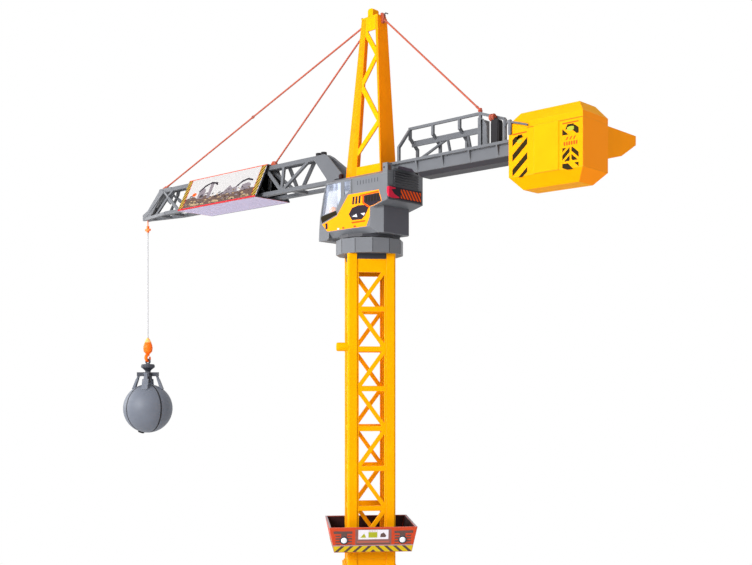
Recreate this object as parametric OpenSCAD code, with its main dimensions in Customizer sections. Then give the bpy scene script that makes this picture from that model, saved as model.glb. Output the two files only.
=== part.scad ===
// Toy tower crane: lattice tower on a footed base, slewing cab and A-frame mast,
// jib with a billboard sleeve, counter-jib with a lidded ballast tub, and a grab on a hoist rope.
// Millimetres, +Z up. The origin is on the floor under the slewing axis.
// -X is the jib, +X the counter-jib. The tower and base are turned about Z under them.

/* [Tower] */
// Turn of the tower and base under the jib, in degrees
tower_turn = 48.3; // [0:0.1:90]
// Width of the square tower over its corner posts
tower_w = 94; // [84:1:110]
// Width of a corner post
post_w = 18; // [12:1:24]
// Height of one lattice bay
bay_h = 78; // [60:1:90]
// Height of the lowest lattice crossbar
bay_z = 133; // [125:1:140]
// Number of lattice bays
bays = 7; // [3:1:7]
// Width of a lattice bar
bar_w = 8; // [5:1:12]

/* [Base] */
// Reach of each leg from the tower axis to its foot
leg_reach = 185; // [150:5:240]
// Height of the base housing
base_h = 112; // [90:1:125]

/* [Tray] */
// Half width of the tray round the tower at its top edge
tray_top = 85; // [75:1:100]
// Half width of the tray at its floor
tray_foot = 75; // [65:1:90]
// Height of the tray floor
tray_z = 131; // [128:1:140]
// Depth of the tray
tray_h = 49; // [30:1:60]

/* [Turret] */
// Half width of the cab and machine house
cab_half = 52; // [45:1:60]
// Height of the deck over the machine house
deck_z = 868; // [860:1:870]
// Thickness of the cab walls
cab_wall = 3; // [2:0.5:5]

/* [Mast] */
// Height of the mast head
mast_top = 1200; // [1150:1:1250]

/* [Jib] */
// Distance from the slewing axis to the hoist rope
jib_reach = 766; // [700:1:820]
// Half width of the jib over its bottom chords
jib_half = 30; // [24:1:36]
// Height of the jib's bottom chords
jib_z = 861; // [850:1:870]
// Height of the jib's top chord
jib_top = 931; // [915:1:940]

/* [Ballast tub] */
// Distance from the slewing axis to the tub's near end
tub_x = 366; // [340:1:380]
// Length of the tub
tub_len = 146; // [120:1:170]
// Half width of the tub
tub_half = 40; // [34:1:46]
// Height of the tub's rim
tub_rim = 892; // [885:1:900]

/* [Grab] */
// Outer radius of the ball grab
grab_r = 61; // [50:1:70]
// Height of the ball's centre
grab_z = 389; // [350:1:420]
// Turn of the grab's seams about the rope, in degrees
grab_turn = 42.5; // [0:0.5:90]

/* [Hidden] */

yellow = [1.0, 0.78, 0.05];
orange = [1.0, 0.55, 0.05];
grey = [0.52, 0.53, 0.56];
dark = [0.3, 0.3, 0.33];
red = [0.85, 0.32, 0.18];
glass_blue = [0.75, 0.85, 0.92];
rope_red = [0.85, 0.38, 0.2];
ball_grey = [0.5, 0.53, 0.57];

tower_half = tower_w / 2;
wall_half = tower_half - post_w;
wall_t = 7;
wall_y = tower_half - 2;
lattice_foot = base_h;
lattice_top = 699;
band_z = 673;
post_top = 710;
collar_top = 739;
collar_r = 67;
spindle_r = 14;
spindle_top = 772;
bore_clear = 0.05;
plate_z = 741;
house_z = 747;
cab_back = 1;
house_back = 95;
roof_edge = 857;
roof_flat = 26;

// A straight bar of width w between two points of a flat outline
module strip(a, b, w) {
    d = b - a;
    translate(a)
        rotate(atan2(d[1], d[0]))
            translate([0, -w / 2])
                square([norm(d), w]);
}

// A round bar between two points in space
module rod(a, b, r) {
    d = b - a;
    translate(a)
        rotate([0, acos(d[2] / norm(d)), atan2(d[1], d[0])])
            cylinder(r = r, h = norm(d), $fn = 24);
}

// A flat outline drawn in X and Z, given a thickness along Y from y0 to y0 + t
module upright(y0, t) {
    translate([0, y0 + t, 0])
        rotate([90, 0, 0])
            linear_extrude(t)
                children();
}

// The tower and base stand turned under the jib
module turned() {
    rotate([0, 0, tower_turn])
        children();
}

module corners() {
    for (k = [0:3])
        rotate([0, 0, 90 * k])
            children();
}

// Base

module base_housing() {
    color(yellow)
        turned()
            difference() {
                union() {
                    translate([-52, -52, 14])
                        cube([104, 104, base_h - 14]);
                    translate([-44, -44, 0])
                        cube([88, 88, 14]);
                }
                for (s = [-1, 1])
                    translate([s * 52 - 2, -30, 40])
                        cube([4, 60, 50]);
            }
}

module leg_outline() {
    polygon([
        [62.5, 14], [62.5, 66], [74, 66], [leg_reach - 12, 24],
        [leg_reach + 12, 20], [leg_reach + 12, 8], [leg_reach - 24, 8]
    ]);
}

module base_legs() {
    color(grey)
        turned()
            corners()
                rotate([0, 0, 45]) {
                    intersection() {
                        upright(-14, 28)
                            leg_outline();
                        difference() {
                            cube([600, 600, 200], center = true);
                            rotate([0, 0, 45])
                                cube([104, 104, 400], center = true);
                        }
                    }
                    translate([leg_reach, 0, 0])
                        cylinder(r = 22, h = 8, $fn = 48);
                }
}

// Tower

module post_outline() {
    c = 3;
    h = tower_half;
    i = tower_half - post_w;
    polygon([[i, i], [h, i], [h, h - c], [h - c, h], [i, h]]);
}

module tower_posts() {
    color(yellow)
        turned()
            corners()
                translate([0, 0, base_h])
                    linear_extrude(post_top - base_h)
                        post_outline();
}

// One wall of the tower in X and Z: crossbars with single diagonals that zigzag upwards
module lattice_outline() {
    for (i = [0:bays - 1])
        translate([-wall_half, bay_z + i * bay_h - 5])
            square([2 * wall_half, 10]);
    for (i = [0:bays - 1]) {
        side = i % 2 == 0 ? -1 : 1;
        low = [side * (wall_half - 1), bay_z + i * bay_h];
        high = [-side * (wall_half - 1), bay_z + (i + 1) * bay_h];
        strip(low, high, bar_w);
    }
    for (s = [-1, 1])
        translate([s > 0 ? wall_half - 4 : -wall_half, lattice_foot])
            square([4, lattice_top - lattice_foot]);
    translate([-wall_half, band_z])
        square([2 * wall_half, lattice_top - band_z]);
    translate([-wall_half, lattice_foot])
        square([2 * wall_half, 14]);
}

module tower_wall(turn) {
    color(yellow)
        turned()
            rotate([0, 0, turn])
                upright(-wall_y, wall_t)
                    intersection() {
                        lattice_outline();
                        translate([-wall_half, lattice_foot])
                            square([2 * wall_half, lattice_top - lattice_foot]);
                    }
}

module tower_lattice_front() {
    tower_wall(0);
}

module tower_lattice_right() {
    tower_wall(90);
}

module tower_lattice_back() {
    tower_wall(180);
}

module tower_lattice_left() {
    tower_wall(270);
}

module tower_cap() {
    color(grey)
        turned()
            translate([0, 0, lattice_top])
                linear_extrude(post_top - lattice_top)
                    difference() {
                        square(2 * wall_y, center = true);
                        for (x = [-1, 1], y = [-1, 1])
                            translate([x * wall_y, y * wall_y])
                                square(2 * (wall_y - wall_half), center = true);
                    }
}

module slew_collar() {
    color(grey) {
        turned()
            translate([0, 0, post_top])
                cylinder(r = collar_r, h = collar_top - post_top, $fn = 12);
        translate([0, 0, collar_top - 1])
            cylinder(r = 30, h = 2.7, $fn = 64);
        translate([0, 0, collar_top - 1])
            cylinder(r = spindle_r, h = spindle_top - collar_top + 1, $fn = 64);
    }
}

// Tray round the tower foot: sloping walls on a flat floor

module tray_walls() {
    t = 4;
    difference() {
        linear_extrude(tray_h, scale = tray_top / tray_foot)
            square(2 * tray_foot, center = true);
        translate([0, 0, -0.01])
            linear_extrude(tray_h + 0.02, scale = (tray_top - t) / (tray_foot - t))
                square(2 * (tray_foot - t), center = true);
    }
}

module tray_pair(turn) {
    color(red)
        turned()
            intersection() {
                translate([0, 0, tray_z])
                    tray_walls();
                rotate([0, 0, turn])
                    for (k = [0, 180])
                        rotate([0, 0, k])
                            translate([0, 0, tray_z])
                                linear_extrude(tray_h)
                                    polygon([[0, 0], [120, -120], [120, 120]]);
            }
}

module tray_ends() {
    tray_pair(90);
}

module tray_sides() {
    tray_pair(0);
}

module tray_floor() {
    color(red)
        turned()
            translate([0, 0, tray_z])
                linear_extrude(4)
                    difference() {
                        square(2 * (tray_foot - 4), center = true);
                        square(tower_w, center = true);
                    }
}

// Turret

module slew_plate() {
    color(grey)
        difference() {
            union() {
                translate([0, 0, plate_z])
                    cylinder(r = 62, h = house_z - plate_z, $fn = 12);
                translate([0, 0, house_z])
                    cylinder(r = 26, h = 28, $fn = 64);
            }
            translate([0, 0, plate_z - 1])
                cylinder(r = spindle_r + bore_clear, h = 60, $fn = 64);
        }
}

// Wedges that bevel the bottom edge of the cab and house along both sides
module skirt_cut() {
    for (s = [0, 1])
        mirror([0, s, 0])
            translate([-63, 0, 0])
                rotate([90, 0, 90])
                    linear_extrude(160)
                        polygon([
                            [-cab_half - 1, house_z - 1], [10 - cab_half, house_z - 1], [-cab_half - 1, 760]
                        ]);
}

module machine_house() {
    color(grey)
        difference() {
            union() {
                translate([0, 0, house_z])
                    linear_extrude(52)
                        polygon([
                            [cab_back, -cab_half], [50, -cab_half], [72, -37],
                            [72, 37], [50, cab_half], [cab_back, cab_half]
                        ]);
                upright(-cab_half, 2 * cab_half)
                    polygon([
                        [cab_back, 796], [58, 796], [house_back, 806], [house_back, roof_edge], [cab_back, roof_edge]
                    ]);
            }
            skirt_cut();
            translate([0, 0, house_z - 1])
                cylinder(r = 26, h = 29.5, $fn = 64);
        }
}

module cab_base() {
    color(grey)
        difference() {
            upright(-cab_half, 2 * cab_half)
                polygon([
                    [-92, 742], [-69, 742], [-63, house_z], [cab_back, house_z],
                    [cab_back, 790], [-88.5, 790], [-91, 766]
                ]);
            skirt_cut();
            translate([0, 0, house_z - 1])
                cylinder(r = 26, h = 29.5, $fn = 64);
        }
}

module window_outline() {
    polygon([[-84.5, 793], [-43, 800], [-30, 822], [-30, 854], [-69.5, 854], [-76.5, 833]]);
}

module rear_window_outline() {
    polygon([[-20, 826], [-4, 836], [-4, 854], [-20, 854]]);
}

// Side wall of the cab in X and Z with its two window openings
module cab_side_outline() {
    difference() {
        polygon([[-88.5, 790], [cab_back, 790], [cab_back, roof_edge], [-71, roof_edge], [-79, 833]]);
        window_outline();
        rear_window_outline();
    }
}

module cab_sides() {
    color(grey)
        for (y = [-cab_half, cab_half - cab_wall])
            upright(y, cab_wall)
                cab_side_outline();
}

// Curved front frame of the cab round the windscreen
module cab_front() {
    h = cab_half - cab_wall;
    color(grey)
        difference() {
            upright(-h, 2 * h)
                polygon([
                    [-88.5, 790], [-85, 790], [-75.5, 833], [-67.5, roof_edge], [-71, roof_edge], [-79, 833]
                ]);
            translate([-100, -h + 6, 796])
                cube([60, 2 * h - 12, 54]);
        }
}

module cab_glass() {
    color(glass_blue, 0.5) {
        for (y = [-cab_half + 0.75, cab_half - 2.25])
            upright(y, 1.5) {
                window_outline();
                rear_window_outline();
            }
        intersection() {
            upright(-cab_half + cab_wall + 6, 2 * (cab_half - cab_wall) - 12)
                polygon([[-87.5, 790], [-86, 790], [-76.5, 833], [-68.5, 857], [-70, 857], [-78, 833]]);
            translate([-100, -60, 796])
                cube([60, 120, 54]);
        }
    }
}

// Roof over the cab and house, pitched down to both sides, with a post at each rear corner
module turret_deck() {
    color(grey) {
        translate([-71, 0, 0])
            rotate([90, 0, 90])
                linear_extrude(house_back + 71)
                    polygon([
                        [-cab_half, roof_edge], [cab_half, roof_edge], [roof_flat, deck_z], [-roof_flat, deck_z]
                    ]);
        for (y = [-cab_half, cab_half - 14])
            translate([house_back - 12, y, roof_edge])
                cube([12, 14, 19]);
    }
}

// Louvred box and rounded bumper across the back of the machine house
module engine_cover() {
    color(dark) {
        difference() {
            translate([house_back, -35, 833])
                cube([4, 70, 28]);
            for (i = [0:4])
                translate([house_back + 2.5, -40, 836 + i * 5])
                    cube([6, 80, 2]);
        }
        translate([0, 0, 806])
            linear_extrude(27)
                polygon([[house_back, -50], [house_back + 4, -44], [house_back + 4, 44], [house_back, 50]]);
    }
}

// Mast: a channel open on its far side, with a front and a rear flange joined by a zigzag web

mast_front_foot = -49;
mast_rear_foot = 52;
mast_front_top = -12;
mast_rear_top = 35;
mast_foot_y = 22;
mast_top_y = 13;
mast_shoulder = 1179;
mast_t = 3;
front_foot_w = 33;
front_top_w = 15.5;
rear_foot_w = 4;
rear_top_w = 8;

function lerp(a, b, f) = a + (b - a) * f;
function mast_rise(z) = (z - deck_z) / (mast_shoulder - deck_z);
function mast_front(z) = lerp(mast_front_foot, mast_front_top, mast_rise(z));
function mast_rear(z) = lerp(mast_rear_foot, mast_rear_top, mast_rise(z));
function gap_left(z) = mast_front(z) + lerp(front_foot_w, front_top_w, mast_rise(z));
function gap_right(z) = mast_rear(z) - lerp(rear_foot_w, rear_top_w, mast_rise(z));

// Front flange in X and Y: a plate, a facet that slopes out to the near side, and a strip along it
function front_outline(x, facet, w, y) = [
    [x, y - 4], [x, facet * 0.21 - y], [x + facet, -y], [x + w, -y],
    [x + w, mast_t - y], [x + facet, mast_t - y],
    [x + mast_t, mast_t - y + (facet - mast_t) * 0.21], [x + mast_t, y - 4]
];

// Rear flange in X and Y: a strip on the near side and a plate with a crease along it
function rear_outline(x, w, y) = [
    [x - w, -y], [x - 1.2, -y], [x, 17.3 - y], [x, y],
    [x - mast_t, y], [x - mast_t, 17.3 - y], [x - mast_t, mast_t - y], [x - w, mast_t - y]
];

// A solid between an outline at the deck and a like one at the shoulder, both counterclockwise.
// The outline is a bent strip: its first half runs along one side and its second half back.
module loft(low, high) {
    n = len(low);
    polyhedron(
        points = [
            for (p = low) [p[0], p[1], deck_z],
            for (p = high) [p[0], p[1], mast_shoulder]
        ],
        faces = [
            for (i = [0:n / 2 - 2]) [i, i + 1, n - 2 - i, n - 1 - i],
            for (i = [0:n / 2 - 2]) [2 * n - 1 - i, 2 * n - 2 - i, n + i + 1, n + i],
            for (i = [0:n - 1]) [i, n + i, n + (i + 1) % n, (i + 1) % n]
        ]
    );
}

module both_mast_plates() {
    loft(
        front_outline(mast_front_foot, 19, front_foot_w, mast_foot_y),
        front_outline(mast_front_top, 11.3, front_top_w, mast_top_y)
    );
    loft(
        rear_outline(mast_rear_foot, rear_foot_w, mast_foot_y),
        rear_outline(mast_rear_top, rear_top_w, mast_top_y)
    );
}

module mast_plates() {
    color(orange)
        both_mast_plates();
}

// Zigzag web of the mast in X and Z, between a bar at its foot and one at its shoulder
module mast_web_outline() {
    rises = [912, 970, 1048, 1103, 1156];
    translate([-60, deck_z])
        square([120, 18]);
    translate([-60, 1154])
        square([120, mast_shoulder - 1154]);
    for (i = [0:3]) {
        lo = rises[i];
        hi = rises[i + 1];
        a = i % 2 == 0 ? gap_left(lo) - 2 : gap_right(lo) + 2;
        b = i % 2 == 0 ? gap_right(hi) + 2 : gap_left(hi) - 2;
        strip([a, lo], [b, hi], 10);
    }
}

module mast_lattices() {
    low = [gap_left(deck_z), gap_right(deck_z)];
    high = [gap_left(mast_shoulder), gap_right(mast_shoulder)];
    color(yellow)
        intersection() {
            upright(-30, 25)
                mast_web_outline();
            loft(
                [
                    [low[0], -mast_foot_y], [low[1], -mast_foot_y],
                    [low[1], mast_t - mast_foot_y], [low[0], mast_t - mast_foot_y]
                ],
                [
                    [high[0], -mast_top_y], [high[1], -mast_top_y],
                    [high[1], mast_t - mast_top_y], [high[0], mast_t - mast_top_y]
                ]
            );
        }
}

module mast_head() {
    color(yellow) {
        translate([-10, -mast_top_y, mast_shoulder])
            cube([43, 2 * mast_top_y, 4]);
        upright(-8.5, 17)
            polygon([
                [3, mast_shoulder + 4], [17, mast_shoulder + 4], [17, mast_top - 3],
                [14, mast_top], [6, mast_top], [3, mast_top - 3]
            ]);
    }
}

// Jib

jib_root = -72;
spine_end = -656;
jib_lean = atan2(22, jib_top - jib_z);
jib_slope = norm([22, jib_top - jib_z]);

// One sloping side of the jib, drawn in X and along its slope
module jib_side_outline() {
    top = jib_slope;
    translate([spine_end, -1])
        square([jib_root - 6 - spine_end, 10]);
    translate([spine_end, top - 10])
        square([-136 - spine_end, 11]);
    polygon([
        [-150, top - 9], [-96, 12], [-96, -2], [jib_root, -2], [jib_root, 7.4],
        [jib_root, 9], [-57, 9], [-57, 20], [-110, top - 6], [-124, top + 2], [-152, top + 2]
    ]);
    for (x = [-246, -165])
        strip([x, top - 5], [-233, 5], 7);
    for (i = [0:3]) {
        a = -305 - 64 * i;
        strip([a + (i == 0 ? 72 : 32), 5], [a, top - 5], 7);
        strip([a, top - 5], [a - 32, 5], 7);
    }
    strip([-529, 5], [-561, top - 5], 7);
    strip([-561, top - 5], [-600, 5], 7);
    strip([-600, 5], [spine_end, 45], 7);
    strip([-645, top - 5], [spine_end, 55], 7);
}

module jib_side() {
    intersection() {
        translate([0, -jib_half, jib_z])
            rotate([-jib_lean, 0, 0])
                upright(0, 5)
                    jib_side_outline();
        translate([-jib_reach, -jib_half - 10, jib_z])
            cube([jib_reach, jib_half + 10, jib_top - jib_z]);
    }
}

module jib_lattice_near() {
    color(grey)
        jib_side();
}

module jib_lattice_far() {
    color(grey)
        mirror([0, 1, 0])
            jib_side();
}

module jib_bottom() {
    t = 7;
    foot = jib_half - 5 / cos(jib_lean);
    head = foot - t * tan(jib_lean);
    color(grey) {
        for (x = [-84, -210, -336, -462, -588, -650])
            translate([x, 0, 0])
                rotate([90, 0, 90])
                    linear_extrude(12)
                        polygon([[-foot, jib_z], [foot, jib_z], [head, jib_z + t], [-head, jib_z + t]]);
        for (s = [-1, 1])
            translate([spine_end, 0, 0])
                rotate([90, 0, 90])
                    linear_extrude(jib_root - spine_end)
                        polygon([
                            [s * foot, jib_z], [s * head, jib_z + t],
                            [s * (head - 5), jib_z + t], [s * (head - 5), jib_z]
                        ]);
    }
}

module jib_spine() {
    color(grey)
        translate([spine_end, -3, jib_top - 8])
            cube([-133 - spine_end, 6, 6]);
}

// A bar of square section between two points in space
module bar(a, b, w) {
    d = b - a;
    translate(a)
        rotate([0, acos(d[2] / norm(d)), atan2(d[1], d[0])])
            linear_extrude(norm(d))
                square(w, center = true);
}

// Tapered truss from the end of the chords down to the fork that carries the rope pin
module jib_nose() {
    tip = -jib_reach;
    peak = -686;
    chord_z = jib_z + 3.5;
    pin_z = jib_z + 7;
    color(grey) {
        difference() {
            union() {
                for (s = [-1, 1]) {
                    bar([spine_end, s * 26.3, chord_z], [tip + 4, s * 6.6, chord_z], 7);
                    bar([peak, s * 7, jib_top - 6], [tip + 2, s * 6.6, jib_z + 8], 8);
                    bar([peak + 2, s * 8, jib_top - 7], [spine_end, s * 14.2, 904], 5);
                    bar([spine_end, s * 11.6, 913], [-705, s * 17.5, jib_z + 5], 5);
                }
                upright(-9, 18)
                    polygon([
                        [peak - 6, jib_top - 8], [peak, jib_top - 12], [spine_end, jib_top - 9],
                        [spine_end, jib_top], [peak - 2, jib_top]
                    ]);
                translate([-696, -18, jib_z])
                    cube([10, 36, 6]);
                upright(-10, 20)
                    polygon([[tip - 8, jib_z], [tip + 26, jib_z], [tip + 30, jib_z + 30], [tip - 8, jib_z + 14]]);
            }
            translate([tip - 10, -4, jib_z - 1])
                cube([26, 8, 40]);
        }
        translate([tip, 4.5, pin_z])
            rotate([90, 0, 0])
                cylinder(r = 2, h = 9, $fn = 32);
    }
}

// Billboard sleeve

bill_x = -572;
bill_len = 280;
bill_low = 51;
bill_high = 15;
bill_z = jib_z - 3;
bill_top = jib_top + 3;

module sleeve_outline() {
    t = 3;
    difference() {
        polygon([[-bill_low, bill_z], [bill_low, bill_z], [bill_high, bill_top], [-bill_high, bill_top]]);
        polygon([
            [-bill_low + 2 * t, bill_z + t], [bill_low - 2 * t, bill_z + t],
            [bill_high - t / 3, bill_top - t], [-bill_high + t / 3, bill_top - t]
        ]);
    }
}

module sleeve() {
    translate([bill_x, 0, 0])
        rotate([90, 0, 90])
            linear_extrude(bill_len)
                intersection() {
                    sleeve_outline();
                    children();
                }
}

module billboard_faces() {
    color("white")
        sleeve()
            translate([-60, bill_z + 3])
                square([120, bill_top - bill_z - 6]);
}

module billboard_edges() {
    color(red)
        sleeve() {
            union() {
                translate([-60, bill_z])
                    square([120, 3]);
                translate([-60, bill_top - 3])
                    square([120, 3]);
            }
        }
}

// Counter-jib

deck_top = 880;

module counter_jib() {
    color(grey) {
        translate([80, -30, deck_top - 5])
            cube([tub_x - 80, 60, 5]);
        translate([80, -24, deck_z])
            cube([house_back - 80, 48, deck_top - 5 - deck_z]);
        upright(-24, 48)
            polygon([
                [140, deck_top - 26], [tub_x, deck_top - 26], [tub_x, deck_top - 5],
                [house_back, deck_top - 5], [house_back, deck_z]
            ]);
        upright(-15, 30)
            polygon([[150, deck_top - 34], [tub_x, deck_top - 34], [tub_x, deck_top - 26], [142, deck_top - 26]]);
        for (x = [145:62:336], s = [0, 1])
            mirror([0, s, 0])
                translate([x, -24, deck_top - 5])
                    rotate([90, 0, 90])
                        linear_extrude(3)
                            polygon([[0, 0], [-6, 0], [0, -21]]);
    }
}

// Bent rail frame over the far edge of the deck
module deck_rail() {
    ridge_y = 6;
    ridge_z = 950;
    first = 100;
    last = 269;
    color(grey) {
        for (x = [first, 157, 221, last]) {
            translate([x, ridge_y - 3, 926])
                cube([5, 5, ridge_z - 926]);
            translate([x, 0, 0])
                rotate([90, 0, 90])
                    linear_extrude(5) {
                        strip([ridge_y - 0.5, 929], [27.5, 910], 5);
                        translate([25, deck_top])
                            square([5, 32]);
                    }
        }
        translate([first, ridge_y - 3, ridge_z - 5])
            cube([last + 5 - first, 5, 5]);
        translate([first, 13, 914])
            cube([last + 5 - first, 3, 11]);
        for (x = [186, 234])
            translate([x, 0, 0])
                rotate([90, 0, 90])
                    linear_extrude(4)
                        strip([26.5, deck_top + 0.6], [14.5, 917], 4);
        bar([first + 3, 27, 889], [188, 15, 917], 4);
        translate([first, 0, 0])
            rotate([90, 0, 90])
                linear_extrude(5) {
                    strip([ridge_y, ridge_z - 3], [-27.5, 906], 5);
                    translate([-30, deck_top])
                        square([5, 28]);
                }
        translate([last + 5, 4, deck_top])
            cube([3, 22, 56]);
        upright(ridge_y - 3, 5) {
            strip([last + 2, ridge_z - 2.5], [326, 928], 5);
            translate([323.5, deck_top])
                square([5, 48]);
        }
    }
}

// Winch block with a rounded top and its knob
module winch_motor() {
    color(dark) {
        translate([301, -8, deck_top])
            cube([15, 16, 40]);
        translate([301, 0, deck_top + 40])
            rotate([0, 90, 0])
                cylinder(r = 8, h = 15, $fn = 48);
        translate([292, -3, deck_top + 48])
            rotate([0, 90, 0])
                cylinder(r = 5, h = 10, $fn = 32);
    }
}

// Ballast tub

module tub_sides() {
    color(yellow) {
        for (y = [-tub_half, tub_half - 3])
            translate([tub_x, y, 811])
                cube([tub_len, 3, tub_rim - 811]);
        translate([tub_x + 51, -tub_half, 811])
            linear_extrude(tub_rim - 811)
                polygon([[0, 0.5], [0, 0], [2, -1.6], [49, -1.6], [51, 0], [51, 0.5]]);
    }
}

module tub_ends() {
    color(yellow)
        for (x = [tub_x, tub_x + tub_len - 3])
            translate([x, -tub_half + 3, 811])
                cube([3, 2 * tub_half - 6, tub_rim - 811]);
}

// Weighted floor with a bevel all round
module tub_floor() {
    inset = 18;
    color(yellow)
        translate([tub_x + tub_len / 2, 0, 811])
            mirror([0, 0, 1])
                linear_extrude(21, scale = [(tub_len - 2 * inset) / tub_len, (tub_half - inset) / tub_half], slices = 1)
                    square([tub_len, 2 * tub_half], center = true);
}

module tub_spout() {
    color(orange)
        difference() {
            translate([tub_x + 38, tub_half, 0])
                rotate([90, 0, 90])
                    linear_extrude(tub_len - 38)
                        polygon([[0, 835], [46, 847], [96, 874], [96, 890], [0, 890]]);
            translate([tub_x + 41, tub_half - 0.01, 0])
                rotate([90, 0, 90])
                    linear_extrude(tub_len - 44)
                        polygon([[0, 838], [45, 850], [93, 876], [93, 891], [0, 891]]);
        }
}

module tub_lid() {
    inset = 15;
    color(yellow)
        difference() {
            union() {
                translate([tub_x, -tub_half, tub_rim])
                    cube([tub_len, 2 * tub_half, 10]);
                translate([tub_x + tub_len / 2, 0, tub_rim + 10])
                    linear_extrude(20, scale = [(tub_len - 2 * inset) / tub_len, (tub_half - inset) / tub_half], slices = 1)
                        square([tub_len, 2 * tub_half], center = true);
            }
            translate([tub_x + 3, -tub_half + 3, tub_rim - 1])
                cube([tub_len - 6, 2 * tub_half - 6, 11]);
        }
}

// Stays from the mast head

// Lug on the face of a mast flange; side is -1 at the front
module mast_lug(side, z) {
    x = side < 0 ? mast_front(z) - 5 : mast_rear(z) - 2;
    difference() {
        translate([x, -3, z - 5])
            cube([7, 6, 10]);
        both_mast_plates();
    }
}

// Peg that a stay is tied to, standing on a chord or rail
module peg(foot) {
    translate(foot)
        cylinder(r = 2.6, h = 6, $fn = 24);
}

module stay_ropes() {
    r = 1.5;
    spine_top = jib_top - 2;
    tip_peg = [-650, 0, spine_top];
    mid_peg = [-287, 0, spine_top];
    rail_peg = [271, 5.5, 950];
    high = [0, 0, 4];
    color(rope_red) {
        mast_lug(-1, 1172);
        rod([mast_front(1172) - 3, 0, 1172], tip_peg + high, r);
        peg(tip_peg);
        mast_lug(-1, 1147);
        rod([mast_front(1147) - 3, 0, 1147], mid_peg + high, r);
        peg(mid_peg);
        mast_lug(1, 1172);
        rod([mast_rear(1172) + 3, 0, 1172], rail_peg + high, r);
        peg(rail_peg);
    }
}

// Hoist rope, hook and grab

rope_foot = 566;
ring_z = jib_z + 7;

module at_rope() {
    translate([-jib_reach, 0, 0])
        children();
}

module hoist_rope() {
    color("silver")
        at_rope()
            translate([0, 0, rope_foot])
                cylinder(r = 1.2, h = 832 - rope_foot, $fn = 16);
}

module rope_clip() {
    color(orange)
        at_rope() {
            difference() {
                translate([0, 1.5, ring_z])
                    rotate([90, 0, 0])
                        cylinder(r = 5, h = 3, $fn = 32);
                translate([0, 2, ring_z])
                    rotate([90, 0, 0])
                        cylinder(r = 2.05, h = 4, $fn = 32);
            }
            translate([-1, -1, 840])
                cube([2, 2, ring_z - 844]);
            translate([-2.5, -2.5, 832])
                cube([5, 5, 16]);
            translate([-9, -2.5, 836])
                cube([18, 5, 5]);
        }
}

module hook_block() {
    color(orange)
        at_rope()
            rotate_extrude($fn = 48)
                polygon([
                    [0, 566], [2.5, 566], [6, 560], [10.5, 549],
                    [11.8, 541], [10.5, 532], [6, 527], [0, 527]
                ]);
}

hook_r = 8;
hook_t = 3.2;
hook_z = 516;
hook_turn = 18;
eye_z = 507.2;

module hook() {
    color(orange)
        at_rope()
            rotate([0, 0, hook_turn]) {
                translate([0, 0, hook_z])
                    rotate([0, -90, 0])
                        rotate_extrude(angle = 300, $fn = 48)
                            translate([hook_r, 0])
                                circle(r = hook_t, $fn = 24);
                translate([0, 0, hook_z + hook_r])
                    cylinder(r = hook_t, h = 527 - hook_z - hook_r, $fn = 24);
            }
}

hinge_r = 22.6;
hinge_z = 475;
pin_r = 1.5;

module grab_head() {
    color(dark)
        at_rope()
            difference() {
                union() {
                    rotate([0, 0, hook_turn])
                        translate([0, 2, eye_z])
                            rotate([90, 0, 0])
                                cylinder(r = 7.2, h = 4, $fn = 32);
                    rotate_extrude($fn = 48)
                        polygon([
                            [0, 483], [6.5, 483], [10, 487], [16.8, 492], [17.2, 496], [15.5, 500], [5, 501], [0, 501]
                        ]);
                    translate([0, 0, 454])
                        cylinder(r = 7, h = 30, $fn = 32);
                    rotate([0, 0, grab_turn])
                        corners() {
                            translate([0, -8.5, 470])
                                cube([16.5, 17, 10]);
                            for (y = [-8.5, 5.5])
                                translate([16, y, 470])
                                    cube([10, 3, 10]);
                            translate([hinge_r, 8, hinge_z])
                                rotate([90, 0, 0])
                                    cylinder(r = pin_r, h = 16, $fn = 24);
                        }
                }
                rotate([0, 0, hook_turn])
                    translate([0, 5, eye_z])
                        rotate([90, 0, 0])
                            cylinder(r = 4.6, h = 10, $fn = 32);
            }
}

// One petal of the ball: a quarter shell on an arm that swings on the head's pin
module petal(k) {
    t = 3;
    half_angle = 44.3;
    color(ball_grey)
        at_rope()
            rotate([0, 0, grab_turn + 90 * k]) {
                translate([0, 0, grab_z])
                    rotate([0, 0, -half_angle])
                        rotate_extrude(angle = 2 * half_angle, $fn = 64)
                            intersection() {
                                difference() {
                                    circle(r = grab_r, $fn = 96);
                                    circle(r = grab_r - t, $fn = 96);
                                }
                                union() {
                                    translate([12, 0])
                                        square([grab_r, grab_r]);
                                    translate([5, -grab_r])
                                        square([grab_r, grab_r + 1]);
                                }
                            }
                difference() {
                    union() {
                        translate([hinge_r, 4.5, hinge_z])
                            rotate([90, 0, 0])
                                cylinder(r = 4, h = 9, $fn = 32);
                        upright(-4.5, 9)
                            polygon([
                                [hinge_r - 2, hinge_z - 3.4], [hinge_r + 2.5, hinge_z - 3],
                                [39, 437], [31, grab_z + 50]
                            ]);
                    }
                    translate([hinge_r, 5, hinge_z])
                        rotate([90, 0, 0])
                            cylinder(r = pin_r + bore_clear, h = 10, $fn = 32);
                }
            }
}

module petal_1() {
    petal(0);
}

module petal_2() {
    petal(1);
}

module petal_3() {
    petal(2);
}

module petal_4() {
    petal(3);
}

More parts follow.
